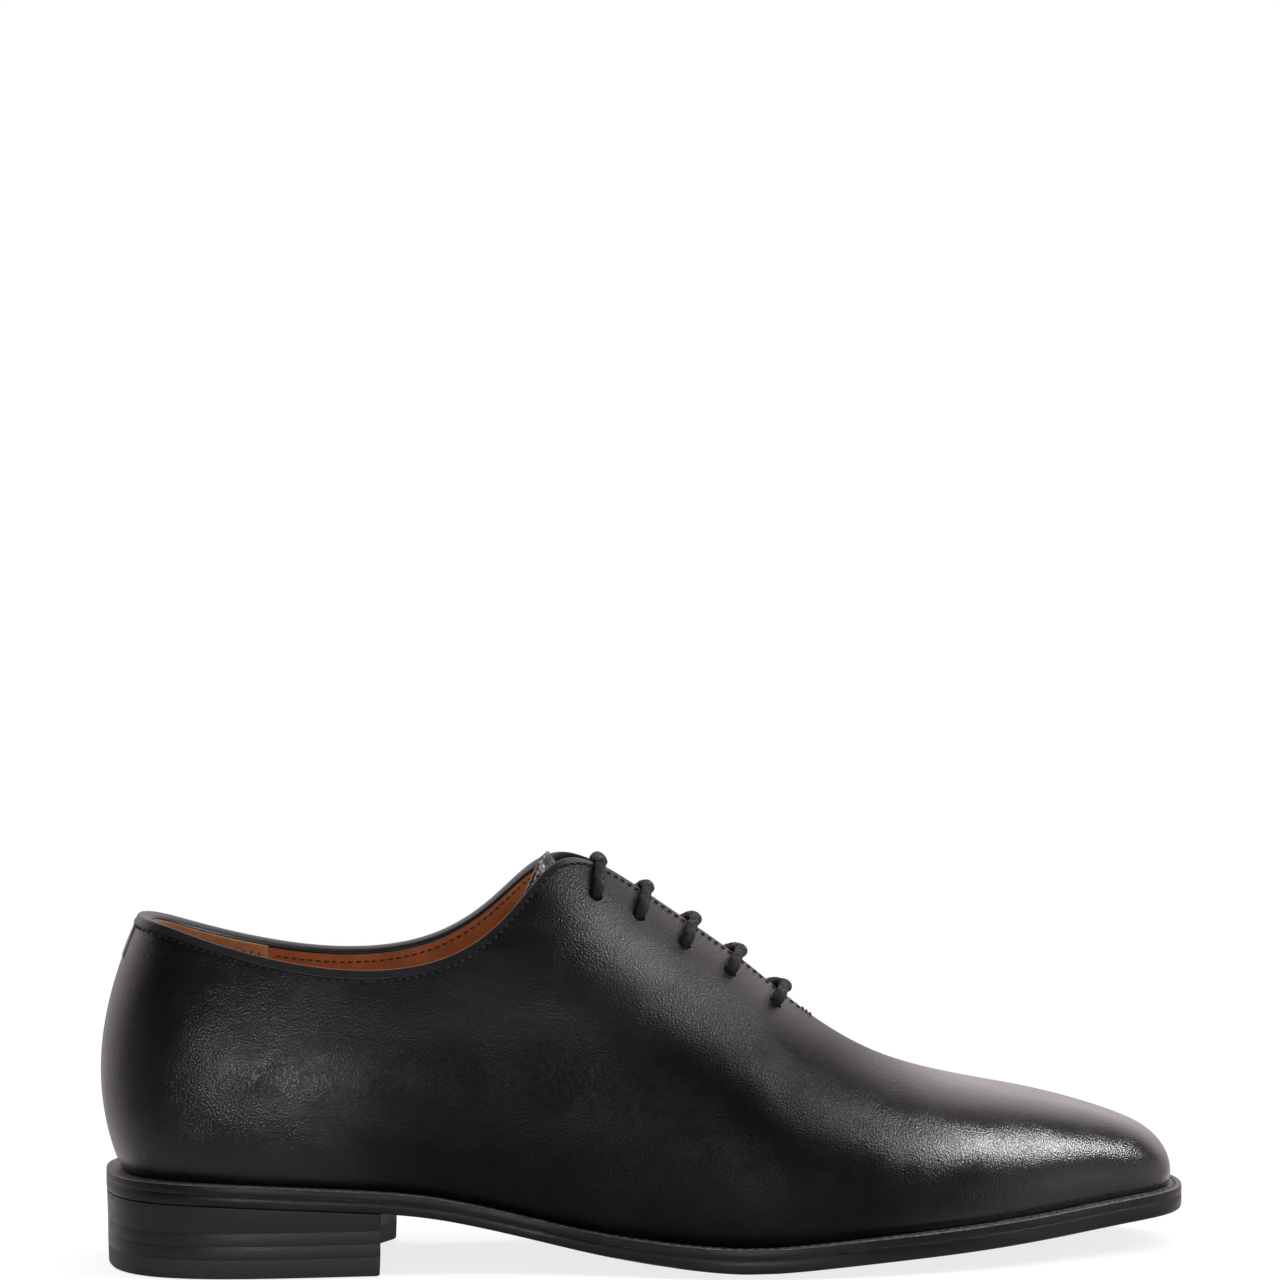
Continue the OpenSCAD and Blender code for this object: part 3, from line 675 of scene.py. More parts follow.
def board(name, dark, light, weave=0.0006):
    """Stiff fibrous sheet, such as a counter, a rib tape or an insole."""
    k = Look(name)
    fibre = k.noise(weave, 4, 0.7)
    tone = k.noise(0.01, 3)
    k.set(
        Base_Color=k.mix(k.times(k.plus(fibre, tone), 0.5), dark, light),
        Roughness=k.span(fibre, 0.3, 0.7, 0.65, 0.85),
        Normal=k.bump(fibre, 0.0002, 0.5),
    )
    return k.material


def metal(name, dark, light, rough=0.35):
    k = Look(name)
    brushed = k.noise(0.0008, 4, 0.7, k.stretched(0.2, 1.0, 1.0))
    k.set(
        Base_Color=k.mix(brushed, dark, light),
        Metallic=1.0,
        Roughness=k.span(brushed, 0.3, 0.7, rough, rough + 0.15),
        Normal=k.bump(brushed, 0.00005, 0.3),
    )
    return k.material


def plastic_tip():
    k = Look("aglet_sleeve")
    weave = k.cells(0.0006)
    k.set(
        Base_Color=k.mix(weave, (0.008, 0.008, 0.008), (0.02, 0.02, 0.02)),
        Roughness=k.span(weave, 0.1, 0.6, 0.12, 0.25),
        Normal=k.bump(weave, 0.00006, 0.3),
        Coat_Weight=0.6,
    )
    return k.material


CALF = black_calf()
BINDING = edge_leather()
TONGUE_GRAIN = grain_leather()
TAN = lining_leather("tan_lining_calf", (0.38, 0.125, 0.044), (0.52, 0.185, 0.068))
# The tongue's backing is the tan lining made darker: painted shade, as the backing sits in shadow
TONGUE_TAN_PAINTED_SHADE = lining_leather("tongue_lining_calf_painted_shade", (0.13, 0.045, 0.017), (0.2, 0.072, 0.028))
SUEDE = suede()
CORD = waxed_cord()
BLACK_THREAD = thread("black_thread", (0.002, 0.002, 0.002), (0.012, 0.012, 0.012))
GREY_THREAD = thread("grey_thread", (0.1, 0.1, 0.105), (0.22, 0.22, 0.23))
BROWN_THREAD = thread("brown_thread", (0.05, 0.016, 0.006), (0.1, 0.035, 0.014))
INK = edge_ink()
WELT = welt_leather()
BOTTOM = sole_bottom()
STACK = stacked_leather()
RUBBER = rubber()
CORK = cork()
INSOLE = board("insole_leather_fibre", (0.4, 0.24, 0.12), (0.55, 0.36, 0.2), 0.0009)
RIB = board("rib_canvas_weave", (0.5, 0.46, 0.38), (0.7, 0.66, 0.56))
STIFF = board("stiffener_board", (0.22, 0.13, 0.07), (0.34, 0.21, 0.12), 0.0008)
EYELET = metal("eyelet_black_metal", (0.03, 0.03, 0.032), (0.08, 0.08, 0.085), 0.3)
STEEL = metal("shank_spring_steel", (0.3, 0.31, 0.32), (0.5, 0.51, 0.53), 0.3)
BRASS = metal("nail_brass_wire", (0.5, 0.33, 0.12), (0.7, 0.5, 0.22), 0.28)
TIP = plastic_tip()

for node, look in {
    "heel_counter": STIFF,
    "toe_puff": STIFF,
    "facing_stays": STIFF,
    "blind_eyelets": EYELET,
    "aglets": TIP,
    "shank": STEEL,
    "heel_nails": BRASS,
    "top_lift_pins": BRASS,
}.items():
    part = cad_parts[node]
    part.data.materials.clear()
    part.data.materials.append(look)

# ---- Sheets of the upper and the linings


def both_sides(values):
    """A symmetric list of stations from positive ones."""
    values = np.unique(np.round(values, 6))
    return np.unique(np.r_[-values, values])


def hole_metric(k, side):
    """Lengths in mm per unit of s and v at a lace hole, as a 2 x 2 metric."""
    s, v, e = side * HOLE_S[k], HOLE_V, 1e-3
    ds = (last_point(s + e, v) - last_point(s - e, v)) / (2 * e)
    dv = (last_point(s, v + e) - last_point(s, v - e)) / (2 * e)
    return np.array([[ds @ ds, ds @ dv], [ds @ dv, dv @ dv]])


def hole_distance(sv, k, side):
    """Distance in mm of (s, v) points from the middle of a lace hole."""
    d = np.asarray(sv) - np.array([side * HOLE_S[k], HOLE_V])
    return np.sqrt(np.einsum("ni,ij,nj->n", d, hole_metric(k, side), d))


def sheet(ss, vs, hole=0.0):
    """Points and faces of a flat mesh in (s, v), pierced by lace holes of the given radius."""
    b = bmesh.new()
    points = [[b.verts.new((s, v, 0)) for v in vs] for s in ss]
    for i in range(len(ss) - 1):
        for j in range(len(vs) - 1):
            b.faces.new((points[i][j], points[i + 1][j], points[i + 1][j + 1], points[i][j + 1]))
    if hole:
        for k in range(len(HOLE_S)):
            for side in (-1, 1):
                if ss[0] < side * HOLE_S[k] < ss[-1]:
                    pierce(b, k, side, hole)
    b.verts.index_update()
    sv = np.array([v.co[:2] for v in b.verts])
    faces = [tuple(v.index for v in f.verts) for f in b.faces]
    b.free()
    return sv, faces


def pierce(b, k, side, radius):
    """Refine the sheet round one hole, take the middle out and move the rim onto a circle."""
    verts = list(b.verts)
    far = hole_distance([v.co[:2] for v in verts], k, side)
    near = {v for v, d in zip(verts, far) if d < radius + 4}
    edges = [e for e in b.edges if e.verts[0] in near and e.verts[1] in near]
    bmesh.ops.subdivide_edges(b, edges=edges, cuts=4, use_grid_fill=True)
    faces = [f for f in b.faces if abs(f.verts[0].co.x - side * HOLE_S[k]) < 0.05]
    far = hole_distance([f.calc_center_median()[:2] for f in faces], k, side)
    inside = [f for f, d in zip(faces, far) if d < radius]
    bmesh.ops.delete(b, geom=inside, context="FACES")
    centre = np.array([side * HOLE_S[k], HOLE_V])
    rim = [v for v in b.verts if abs(v.co.x - centre[0]) < 0.05 and v.is_boundary]
    far = hole_distance([v.co[:2] for v in rim], k, side)
    for v, d in zip(rim, far):
        if d < radius + 1.5:
            moved = centre + (np.array(v.co[:2]) - centre) * radius / d
            v.co = (moved[0], moved[1], 0)


def skin(sv, depth, tuck=0.0):
    """Points in space for a sheet's (s, v) at a depth. v below 0 is turned in under the foot."""
    s, v = sv[:, 0], sv[:, 1]
    p = surface(s, np.clip(v, 0, None), depth)
    base = feather(s)
    n = outward(s)
    turned = v < 0
    flat = base - n * (depth - 7 * v)[:, None]
    p[turned, :2] = flat[turned]
    p[turned, 2] = welt_top(p[turned, 0]) + 0.12 + depth
    pull = tuck * np.clip(1 - v / 0.05, 0, 1) ** 2
    p[:, :2] -= n * pull[:, None]
    ridge = (np.abs(s) > THROAT_S) & (v > 0.99999)
    mirrored = surface(-s[ridge], v[ridge], depth)
    p[ridge] = (p[ridge] + mirrored) / 2
    return p


def wall_stations(step):
    """Shares of the way up at about a step in mm, closer together at both edges."""
    v = np.linspace(0, 1, int(105 / step))
    return np.unique(np.round(np.r_[v, 0.008, 0.02, 0.035, 0.986, 0.994], 6))


def thicken(obj, thickness_mm):
    """Give a sheet its thickness on the inner side."""
    m = obj.modifiers.new("thickness", "SOLIDIFY")
    m.thickness = thickness_mm * 0.001
    m.offset = -1
    return apply_modifiers(obj)


def outer_leather():
    """The one-piece upper, open between its facings and pierced for the lace."""
    seam = np.array([0, 0.0009, 0.0018, 0.003])
    ss = both_sides(np.r_[np.linspace(0, 1, 211), seam, TOPLINE_S, THROAT_S, THROAT_S + 0.0005])
    vs = np.r_[-0.5, -0.25, -0.1, wall_stations(1.7)]
    sv, faces = sheet(ss, vs, HOLE_R)
    p = skin(sv, 0.0, tuck=0.8)
    # The closed back seam is a fine valley below the strap
    s, v = sv[:, 0], sv[:, 1]
    valley = 0.35 * np.exp(-((s / 0.0012) ** 2)) * ramp(0.84 - v, 0, 0.05)
    p[:, 0] += valley
    obj = make("upper_wholecut", p, faces, CALF, "black_calf")
    thicken(obj, UPPER_T)
    bevel(obj, 0.22, 2, 50)
    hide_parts("upper_back", "upper_toe")
    return bends(obj)


def linings():
    """Side lining in two halves that meet at the toe, and a suede piece round the heel."""
    vs = np.r_[-0.4, -0.2, wall_stations(3.0)]
    ss = np.unique(np.round(np.r_[np.linspace(LINING_SEAM_S, 1, 110), THROAT_S, THROAT_S + 0.001], 6))
    sv, faces = join([sheet(np.sort(side * ss), vs, LINING_HOLE_R) for side in (-1, 1)])
    obj = make("side_lining", skin(sv, LINING_D + 0.05), faces, TAN, "tan_lining")
    thicken(obj, 0.95)
    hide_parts("quarter_lining", "vamp_lining")
    bends(obj)
    heel_end = LINING_SEAM_S + 0.008
    sv, faces = sheet(np.linspace(-heel_end, heel_end, 90), vs)
    obj = make("heel_lining_suede", skin(sv, INSIDE_D + 0.02), faces, SUEDE, "suede_lining")
    thicken(obj, 0.7)
    bevel(obj, 0.2, 2, 50)
    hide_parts("heel_lining")
    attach(obj, HEEL)


def edge_frame(s):
    """At the top edge: its points, the outward normal and the direction up along the wall."""
    p = last_point(s, 1.0)
    n = last_normal(s, np.ones_like(s))
    up = unit(p - last_point(s, 0.985))
    return p, n, up


def topline_bead():
    """Narrow rounded band over the edges of the leather and the lining; it thins out along the facings."""
    # Distance out from the edge, height over it
    section = np.array([
        [-0.15, -2.25], [0.42, -2.2], [0.6, -2.0], [0.58, -1.75], [0.4, -1.3], [0.3, 0.0], [0.05, 0.5],
        [-0.5, 0.75], [-1.5, 0.85], [-2.6, 0.8], [-3.5, 0.65], [-4.0, 0.4], [-4.2, 0.1], [-4.25, -0.2],
        [-4.1, -0.4], [-3.8, -0.35],
    ])
    s = np.linspace(-0.522, 0.522, 460)
    p, n, up = edge_frame(s)
    fade = ramp(np.abs(s), 0.468, 0.515)[:, None]
    depth, height = section[:, 0][None], section[:, 1][None]
    depth = np.where(depth < 0, depth * (1 - 0.68 * fade), depth * (1 - 0.7 * fade))
    height = np.where(height > 0, height * (1 - 0.75 * fade), height * (1 - 0.35 * fade))
    rings = p[:, None] + n[:, None] * depth[:, :, None] + up[:, None] * height[:, :, None]
    points, faces = sweep(rings)
    obj = make("topline_bead", points, faces, BINDING, "black_binding")
    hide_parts("topline_binding")
    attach(obj, HEEL)


def heel_strap():
    """Short strap over the top of the back seam, with skived edges."""
    half, low, high = 0.0135, 0.815, 0.984
    s, v = np.meshgrid(np.linspace(-half, half, 17), np.linspace(low, high, 30), indexing="ij")
    away = np.minimum((half - np.abs(s)) * 340, np.minimum(v - low, high - v) * 100)
    lift = 0.3 * np.clip(away / 1.2, 0, 1) ** 0.6
    outer = surface(s, v, -0.06 - lift)
    inner = surface(s, v, np.full_like(s, -0.02))
    points, faces = closed_shell(outer, inner)
    obj = make("heel_strap", points, faces, CALF, "black_calf", 60)
    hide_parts("heel_tab")
    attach(obj, HEEL)


# ---- Stitches
# Pitch, length and thread radius of each kind of row, in millimetres
EDGE_STITCH = (2.3, 1.6, 0.36)
LINING_EDGE_STITCH = (2.3, 1.7, 0.26)
LINING_SEAM_STITCH = (2.2, 1.6, 0.26)
TONGUE_STITCH = (2.0, 1.5, 0.33)
WELT_STITCH = (2.9, 2.2, 0.24)
TACK_RADIUS = 0.34


def stitch_row(path, normals, pitch, length, radius):
    """Points and faces of a row of thread stitches that lie along a path."""
    d = np.r_[0, np.cumsum(np.linalg.norm(np.diff(path, axis=0), axis=1))]
    count = int(d[-1] / pitch)
    at = (np.arange(count) + 0.5) * d[-1] / count
    ends = np.array([-0.5, -0.42, -0.2, 0.2, 0.42, 0.5]) * length
    girth = np.array([0.35, 0.8, 1.0, 1.0, 0.8, 0.35]) * radius
    sink = np.array([-0.9, -0.35, 0.25, 0.25, -0.35, -0.9]) * radius
    angles = np.arange(6) * math.pi / 3
    points, faces = [], []

    def along(values, t):
        return np.stack([np.interp(t, d, values[:, k]) for k in range(3)], -1)

    for t in at:
        middle = along(path, t + ends)
        n = unit(along(normals, t + ends))
        tangent = unit(middle[-1] - middle[0])
        side = unit(np.cross(n, tangent))
        middle = middle + n * sink[:, None]
        rings = (
            middle[:, None]
            + side[:, None] * (girth[:, None] * np.cos(angles))[:, :, None]
            + n[:, None] * (girth[:, None] * np.sin(angles))[:, :, None]
        )
        first = len(points) * rings.shape[0] * rings.shape[1]
        row_points, row_faces = sweep(rings)
        faces += [tuple(first + k for k in f) for f in row_faces]
        points.append(row_points)
    return np.concatenate(points), faces


def join(parts):
    """One mesh from several (points, faces) pairs."""
    points, faces, first = [], [], 0
    for p, f in parts:
        points.append(p)
        faces += [tuple(first + k for k in face) for face in f]
        first += len(p)
    return np.concatenate(points), faces


def wall_row(s, below, depth, stitch, inward=False):
    """A row of stitches on the wall, some mm below its top edge."""
    lengths = np.array([wall_length(a) for a in s])
    v = 1 - below / lengths
    path = surface(s, v, depth)
    n = last_normal(s, v)
    return stitch_row(path, -n if inward else n, *stitch)


def seams():
    """Stitches along the top edge, at the throat and in the linings."""
    rows = []
    for side in (-1, 1):
        s = side * np.linspace(0.0, THROAT_S - 0.006, 360)
        below = 3.0 - 0.9 * ramp(np.abs(s), 0.47, 0.52)
        start = 3 if side > 0 else 0
        rows.append(wall_row(s[start:], below[start:], 0.0, EDGE_STITCH))
    # Bar tack that closes the throat
    for s in THROAT_S + np.array([-0.004, -0.001, 0.002]):
        path = skin(np.array([(-s, 0.972), (-s, 0.99), (s, 0.99), (s, 0.972)]), 0.0)
        path[:, 2] += 0.15
        up = np.tile([0.4, 0, 0.9], (4, 1))
        length = np.linalg.norm(np.diff(path, axis=0), axis=1).sum()
        rows.append(stitch_row(path, up, length, length * 0.98, TACK_RADIUS))
    obj = make("edge_seam_thread", *join(rows), BLACK_THREAD, "black_calf")
    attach(obj, HEEL)
    rows = []
    suede_face = INSIDE_D + 0.72
    below = 3.4
    for side in (-1, 1):
        for seam in (LINING_SEAM_S + 0.0015, LINING_SEAM_S - 0.0045):
            v = np.linspace(0.965, 0.3, 200)
            s = np.full_like(v, side * seam)
            rows.append(stitch_row(surface(s, v, suede_face), -last_normal(s, v), *LINING_SEAM_STITCH))
        s = side * np.linspace(0.21, THROAT_S - 0.03, 300)
        rows.append(wall_row(s, np.full_like(s, below), LINING_D + 1.0, LINING_EDGE_STITCH, True))
    s = np.linspace(-0.19, 0.19, 240)
    rows.append(wall_row(s, np.full_like(s, below), suede_face, LINING_EDGE_STITCH, True))
    obj = make("lining_seam_thread", *join(rows), BROWN_THREAD, "tan_lining")
    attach(obj, HEEL)


# ---- Tongue
# Where it starts at the throat (s), where its edges lie and where its free middle begins (v)
TONGUE_FRONT = 0.685
TONGUE_EDGE_V = 0.74
TONGUE_MIDDLE_V = 0.925
# Rows of the free end, past the facings
TAB_ROWS = 19


def over(s, v, height):
    """A point some mm over the outer surface, also past its top edge."""
    s, v = np.broadcast_arrays(np.asarray(s, float), np.asarray(v, float))
    return last_point(s, v) + last_normal(s, v) * height


def tongue_row(s, depth):
    """One row across the tongue, from the lateral edge over the middle to the medial edge."""
    vs = np.linspace(TONGUE_EDGE_V, TONGUE_MIDDLE_V, 14)
    left = over(-s, vs, -depth)
    right = over(s, vs, -depth)
    a, b = left[-1], right[-1]
    lift = unit(last_normal(-s, TONGUE_MIDDLE_V) + last_normal(s, TONGUE_MIDDLE_V))
    f = np.linspace(0, 1, 9)[1:-1, None]
    middle = a + (b - a) * f + lift * 0.48 * np.linalg.norm(b - a) * f * (1 - f)
    return np.concatenate([left, middle, right[::-1]])


def tongue_rows(depth):
    """All rows of the tongue, from its root at the throat to its free edge."""
    rows = [tongue_row(s, depth) for s in np.linspace(TONGUE_FRONT, 0.5, 60)]
    last = rows[-1]
    across = np.linspace(-1, 1, len(last))
    near, far = np.clip(-across, 0, 1), np.clip(across, 0, 1)
    # Past the facings the tab rises to a rounded tip while its edges sweep back along the top line
    reach = np.stack([
        -8.5 - 11.5 * np.abs(across) ** 1.3,
        2.5 * near**2,
        11.6 - 3 * near**4 - far * (14 - 8 * far),
    ], -1)
    rows += [last + reach * k for k in np.linspace(0, 1, TAB_ROWS + 1)[1:]]
    return np.array(rows)


def tongue():
    """Pebbled leather, its lining and the seam round the free edge."""
    for name, depth, thickness, look, slot, node in (
        ("tongue_outer", TONGUE_D, 1.2, TONGUE_GRAIN, "tongue_calf", "tongue_leather"),
        ("tongue_backing", TONGUE_D + 1.28, 0.9, TONGUE_TAN_PAINTED_SHADE, "tan_lining", "tongue_lining"),
    ):
        points, faces = closed_shell(tongue_rows(depth), tongue_rows(depth + thickness))
        obj = make(name, points, faces, look, slot)
        bevel(obj, 0.35, 3, 50)
        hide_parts(node)
        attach(obj, TONGUE)
    rows = tongue_rows(TONGUE_D)
    path = np.concatenate([rows[30:-1, 1], rows[-2, 1:-1], rows[30:-1, -2][::-1]])
    path = resample(path, 0.6)
    # The stitches stand out from a point low inside the shoe
    inside = rows[-TAB_ROWS - 1:, 14:21].mean(axis=(0, 1)) - np.array([12, 0, 60])
    points, faces = stitch_row(path, unit(path - inside), *TONGUE_STITCH)
    obj = make("tongue_seam_thread", points, faces, GREY_THREAD, "tongue_calf")
    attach(obj, TONGUE)


# ---- Lace
# Radius of its turn over a hole's rim, and how far above the leather that turn starts
TURN_R = 1.75
TURN_LIFT = 0.5
# Its middle line's height over the leather outside, and depth under it inside
LACE_OUT = TURN_R + TURN_LIFT
LACE_IN = 4.8 + TURN_R


def hole_centre(k, side):
    return last_point(side * HOLE_S[k], HOLE_V)


def hole_axis(k, side):
    return last_normal(side * HOLE_S[k], HOLE_V)


def turn(k, side, height, sense, to):
    """Quarter turn of the lace over the rim of a hole; sense is 1 outside the leather and -1 inside."""
    c, n = hole_centre(k, side), hole_axis(k, side)
    w = to - c
    t = unit(w - n * (n @ w))
    a = np.radians([0, 30, 60, 90])
    return [c + n * (height + sense * TURN_R * math.sin(x)) + t * TURN_R * (1 - math.cos(x)) for x in a]


def half_bar(k, side):
    """From inside one hole to the middle of the bar, leaning a little towards the toe."""
    near = over(side * (HOLE_S[k] + 0.003), 0.91, LACE_OUT)
    return (
        [hole_centre(k, side) - hole_axis(k, side) * (LACE_IN - TURN_R - 1.2)]
        + turn(k, side, TURN_LIFT, 1, near)
        + [near, over(side * (HOLE_S[k] + 0.006), 0.955, LACE_OUT)]
        + [over(side * (HOLE_S[k] + 0.009), 0.985, LACE_OUT + 0.1)]
    )


def bar(k, side):
    return half_bar(k, side) + half_bar(k, -side)[::-1]


def run(k0, k1, side):
    """Hidden run behind the leather, from one hole to another on the same side."""
    mid = []
    for f in (0.3, 0.5, 0.7):
        s = HOLE_S[k0] + (HOLE_S[k1] - HOLE_S[k0]) * f
        mid.append(over(side * s, HOLE_V + 0.012 * math.sin(math.pi * f), -LACE_IN))
    back = turn(k1, side, TURN_R - LACE_IN, -1, mid[2])
    return turn(k0, side, TURN_R - LACE_IN, -1, mid[0]) + mid + back[::-1]


def tail(k, side):
    """Loose end, tucked in behind the leather."""
    rest = [
        over(side * (HOLE_S[k] + ds), v, -LACE_IN)
        for ds, v in ((0.006, 0.82), (0.018, 0.795), (0.034, 0.79), (0.05, 0.79))
    ]
    return turn(k, side, TURN_R - LACE_IN, -1, rest[0]) + rest


def catmull(points, per_span):
    """Smooth path through all the points."""
    p = np.asarray(points)
    padded = np.concatenate([p[:1], p, p[-1:]])
    out = []
    for i in range(len(p) - 1):
        a, b, c, d = padded[i:i + 4]
        square, cube = 2 * a - 5 * b + 4 * c - d, 3 * b - a - 3 * c + d
        for f in np.arange(per_span) / per_span:
            out.append(0.5 * (2 * b + (c - a) * f + square * f**2 + cube * f**3))
    return np.array(out + [p[-1]])


def braided(path, radius, sides=28, strands=6, lay=5.0, relief=0.09):
    """A round braided cord: two sets of strands cross over its surface."""
    step = 0.28
    path = resample(path, step)
    u, w = frames_along(path)
    angle = np.arange(sides) * 2 * math.pi / sides
    turns = 2 * math.pi * step / lay * np.arange(len(path))[:, None]
    right = np.cos(strands / 2 * angle + turns)
    left = np.cos(strands / 2 * angle - turns)
    r = radius * (1 - relief + relief * np.maximum(right, left))
    around_path = u[:, None] * np.cos(angle)[:, None] + w[:, None] * np.sin(angle)[:, None]
    return sweep(path[:, None] + around_path * r[:, :, None])


def lace():
    """One lace through all ten holes, with straight bars outside."""
    path = catmull(
        tail(3, -1)[::-1] + bar(3, -1) + run(3, 1, 1) + bar(1, 1) + run(1, 0, -1) + bar(0, -1)
        + run(0, 2, 1) + bar(2, 1) + run(2, 4, -1) + bar(4, -1) + tail(4, 1),
        8,
    )
    obj = make("lace_cord", *braided(path, LACE_R), CORD, "waxed_lace", 80)
    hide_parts("lace")
    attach(obj, HEEL)


# ---- Bottom: insole, welt, outsole
LOOP = both_sides(np.linspace(0, 1, 331))[:-1]
LOOP_LINE = (feather(LOOP) + feather(-LOOP)) / 2


def plan_ring(out, t=1.0):
    """Points of the sole's plan: out mm past the feather line, then t of the way from the middle line."""
    p = feather(LOOP) + outward(LOOP) * np.asarray(out)[..., None]
    middle = LOOP_LINE.copy()
    middle[:, 0] = np.clip(middle[:, 0], -8, 238)
    return middle + (p - middle) * t


def raised(xy, height):
    """Plan points set at a height that is a function of x and y."""
    return np.c_[xy, height(xy[:, 0], xy[:, 1])]


def stack(rings):
    """A closed solid from rings; its first and last ring lie folded on the middle line."""
    return np.concatenate(rings), grid_faces(len(rings), len(rings[0]), close_cols=True)


def hoop(rings):
    """A closed solid round the shoe: its last ring joins its first."""
    return np.concatenate(rings), grid_faces(len(rings), len(LOOP), close_rows=True, close_cols=True)


def insole_low(x, y):
    return welt_top(x) + INSOLE_LIFT


def insole_high(x, y):
    return insole_low(x, y) + INSOLE_T


def slab(name, out, low, high, material, slot, nodes):
    """A layer of the sole between two heights, with rounded edges."""
    rounding = 0.3
    inner = (0.0, 0.35, 0.7, 0.92)
    rings = [raised(plan_ring(out, t), high) for t in inner]
    rings.append(raised(plan_ring(out - rounding), high))
    rings.append(raised(plan_ring(out), lambda x, y: high(x, y) - rounding))
    rings.append(raised(plan_ring(out), lambda x, y: low(x, y) + rounding))
    rings.append(raised(plan_ring(out - rounding), low))
    rings += [raised(plan_ring(out, t), low) for t in inner[::-1]]
    obj = make(name, *stack(rings), material, slot, 60)
    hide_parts(*nodes)
    return bends(obj)


def bottom_layers():
    """Insole, the cork under it, and the taped rib that the welt is sewn to."""
    insole = ("insole_back", "insole_toe")
    cork_nodes = ("cork_filler_back", "cork_filler_toe")
    slab("insole_board", -4.4, insole_low, insole_high, INSOLE, "insole_leather", insole)
    cork_low = lambda x, y: outsole_top(x) + 3.1
    cork_high = lambda x, y: insole_low(x, y) - 0.15
    slab("cork_bed", -9.6, cork_low, cork_high, CORK, "cork", cork_nodes)
    rib_low = lambda x, y: outsole_top(x) + 0.1
    rib_high = lambda x, y: insole_low(x, y) - 0.1
    corners = ((-7.7, rib_low), (-7.7, rib_high), (-9.1, rib_high), (-9.1, rib_low))
    rings = [raised(plan_ring(out), height) for out, height in corners]
    obj = make("insole_rib_tape", *hoop(rings), RIB, "rib_canvas")
    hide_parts("insole_rib_back", "insole_rib_toe")
    bends(obj)


def sock():
    """Thin leather pad over the back of the insole, with a rolled edge."""
    out = -5.4
    end = 111.5
    low = lambda x, y: insole_high(x, y) + 0.12
    step = lambda x, y: low(x, y) + 0.5
    high = lambda x, y: low(x, y) + 0.85
    keep = (feather(LOOP) + outward(LOOP) * out)[:, 0] < end

    def ring(past, t, height):
        p = plan_ring(past, t)[keep]
        p[:, 0] = np.minimum(p[:, 0], end)
        return raised(p, height)

    inner = [0.0, 0.3, 0.6, 0.85, 0.95]
    rings = [ring(out, t, high) for t in inner]
    rings += [ring(out - 0.35, 1, high), ring(out, 1, step), ring(out, 1, low)]
    rings += [ring(out, t, low) for t in inner[::-1]]
    count = len(rings[0])
    faces = grid_faces(len(rings), count)
    faces.append(tuple(i * count for i in range(len(rings))))
    faces.append(tuple(i * count + count - 1 for i in range(len(rings) - 1, -1, -1)))
    obj = make("sock_pad", np.concatenate(rings), faces, TAN, "tan_lining", 60)
    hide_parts("sock_lining")
    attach(obj, HEEL)


def welt():
    """Strip all round the upper; its outer corner is rounded, its top is stitched to the outsole."""
    reach = welt_reach(LOOP)
    low = lambda x, y: outsole_top(x, y) + 0.04
    # Distance past the feather line or, where it has a number, past the welt's edge; share of the height
    profile = [
        (-7.0, None, 0.0), (-7.0, None, 1.0), (-3.0, None, 1.0), (0.0, None, 1.0),
        (0, -1.2, 1.0), (0, -0.45, 1.0), (0, -0.16, 0.985), (0, -0.03, 0.93), (0, 0.03, 0.8), (0, 0.05, 0.4),
        (0, 0.05, 0.03), (0, -0.03, 0.0), (0, -0.5, 0.0), (-3.0, None, 0.0),
    ]
    rings = []
    for inner, past, share in profile:
        out = np.full_like(LOOP, inner) if past is None else np.maximum(0.3, reach + past)
        height = lambda x, y, share=share: low(x, y) + (welt_top(x, y) - low(x, y)) * share
        rings.append(raised(plan_ring(out), height))
    obj = make("welt_strip", *hoop(rings), WELT, "welt_leather", 60)
    obj.data.materials.append(INK)
    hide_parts("welt_back", "welt_toe")
    bends(obj)
    # Its outer face is inked like the sole
    for f in obj.data.polygons:
        if abs(f.normal.z) < 0.6:
            f.material_index = 1
    rows = []
    for side in (-1, 1):
        s = side * np.linspace(0.33, 1.0, 420)
        p = feather(s) + outward(s) * (welt_reach(s) * 0.52)[:, None]
        path = raised(p, welt_top)
        up = np.tile([0, 0, 1.0], (len(path), 1))
        rows.append(stitch_row(path, up, *WELT_STITCH))
    obj = make("welt_stitches", *join(rows), BLACK_THREAD, "welt_leather")
    bends(obj)


def outsole():
    """Leather outsole: inked edge and waist, and a bare underside with its closed stitch channel."""
    reach = welt_reach(LOOP)
    top = lambda x, y: outsole_top(x, y) - 0.04
    rings = [raised(plan_ring(reach - 0.6, t), top) for t in (0.0, 0.4, 0.8, 1.0)]
    edge = (
        (-0.03, 1.0), (0.05, 0.98), (0.06, 0.55), (0.02, 0.25), (-0.15, 0.1), (-0.55, 0.02), (-1.1, 0.0),
    )
    for past, share in edge:
        height = lambda x, y, share=share: sole_under(x, y) + (top(x, y) - sole_under(x, y)) * share
        rings.append(raised(plan_ring(reach + past), height))
    for past, rise in ((-5.2, 0.0), (-5.5, 0.16), (-5.8, 0.0)):
        height = lambda x, y, rise=rise: sole_under(x, y) + rise
        rings.append(raised(plan_ring(reach + past), height))
    rings += [raised(plan_ring(reach - 5.8, t), sole_under) for t in np.linspace(0.96, 0, 16)]
    obj = make("outsole_leather", *stack(rings), BOTTOM, "sole_leather", 60)
    obj.data.materials.append(INK)
    for f in obj.data.polygons:
        waist_end = (92 + 200 * abs(f.center.y)) * FIT[0]
        if f.normal.z > -0.75 or f.center.x < waist_end:
            f.material_index = 1
    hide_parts("outsole_back", "outsole_toe")
    bends(obj)


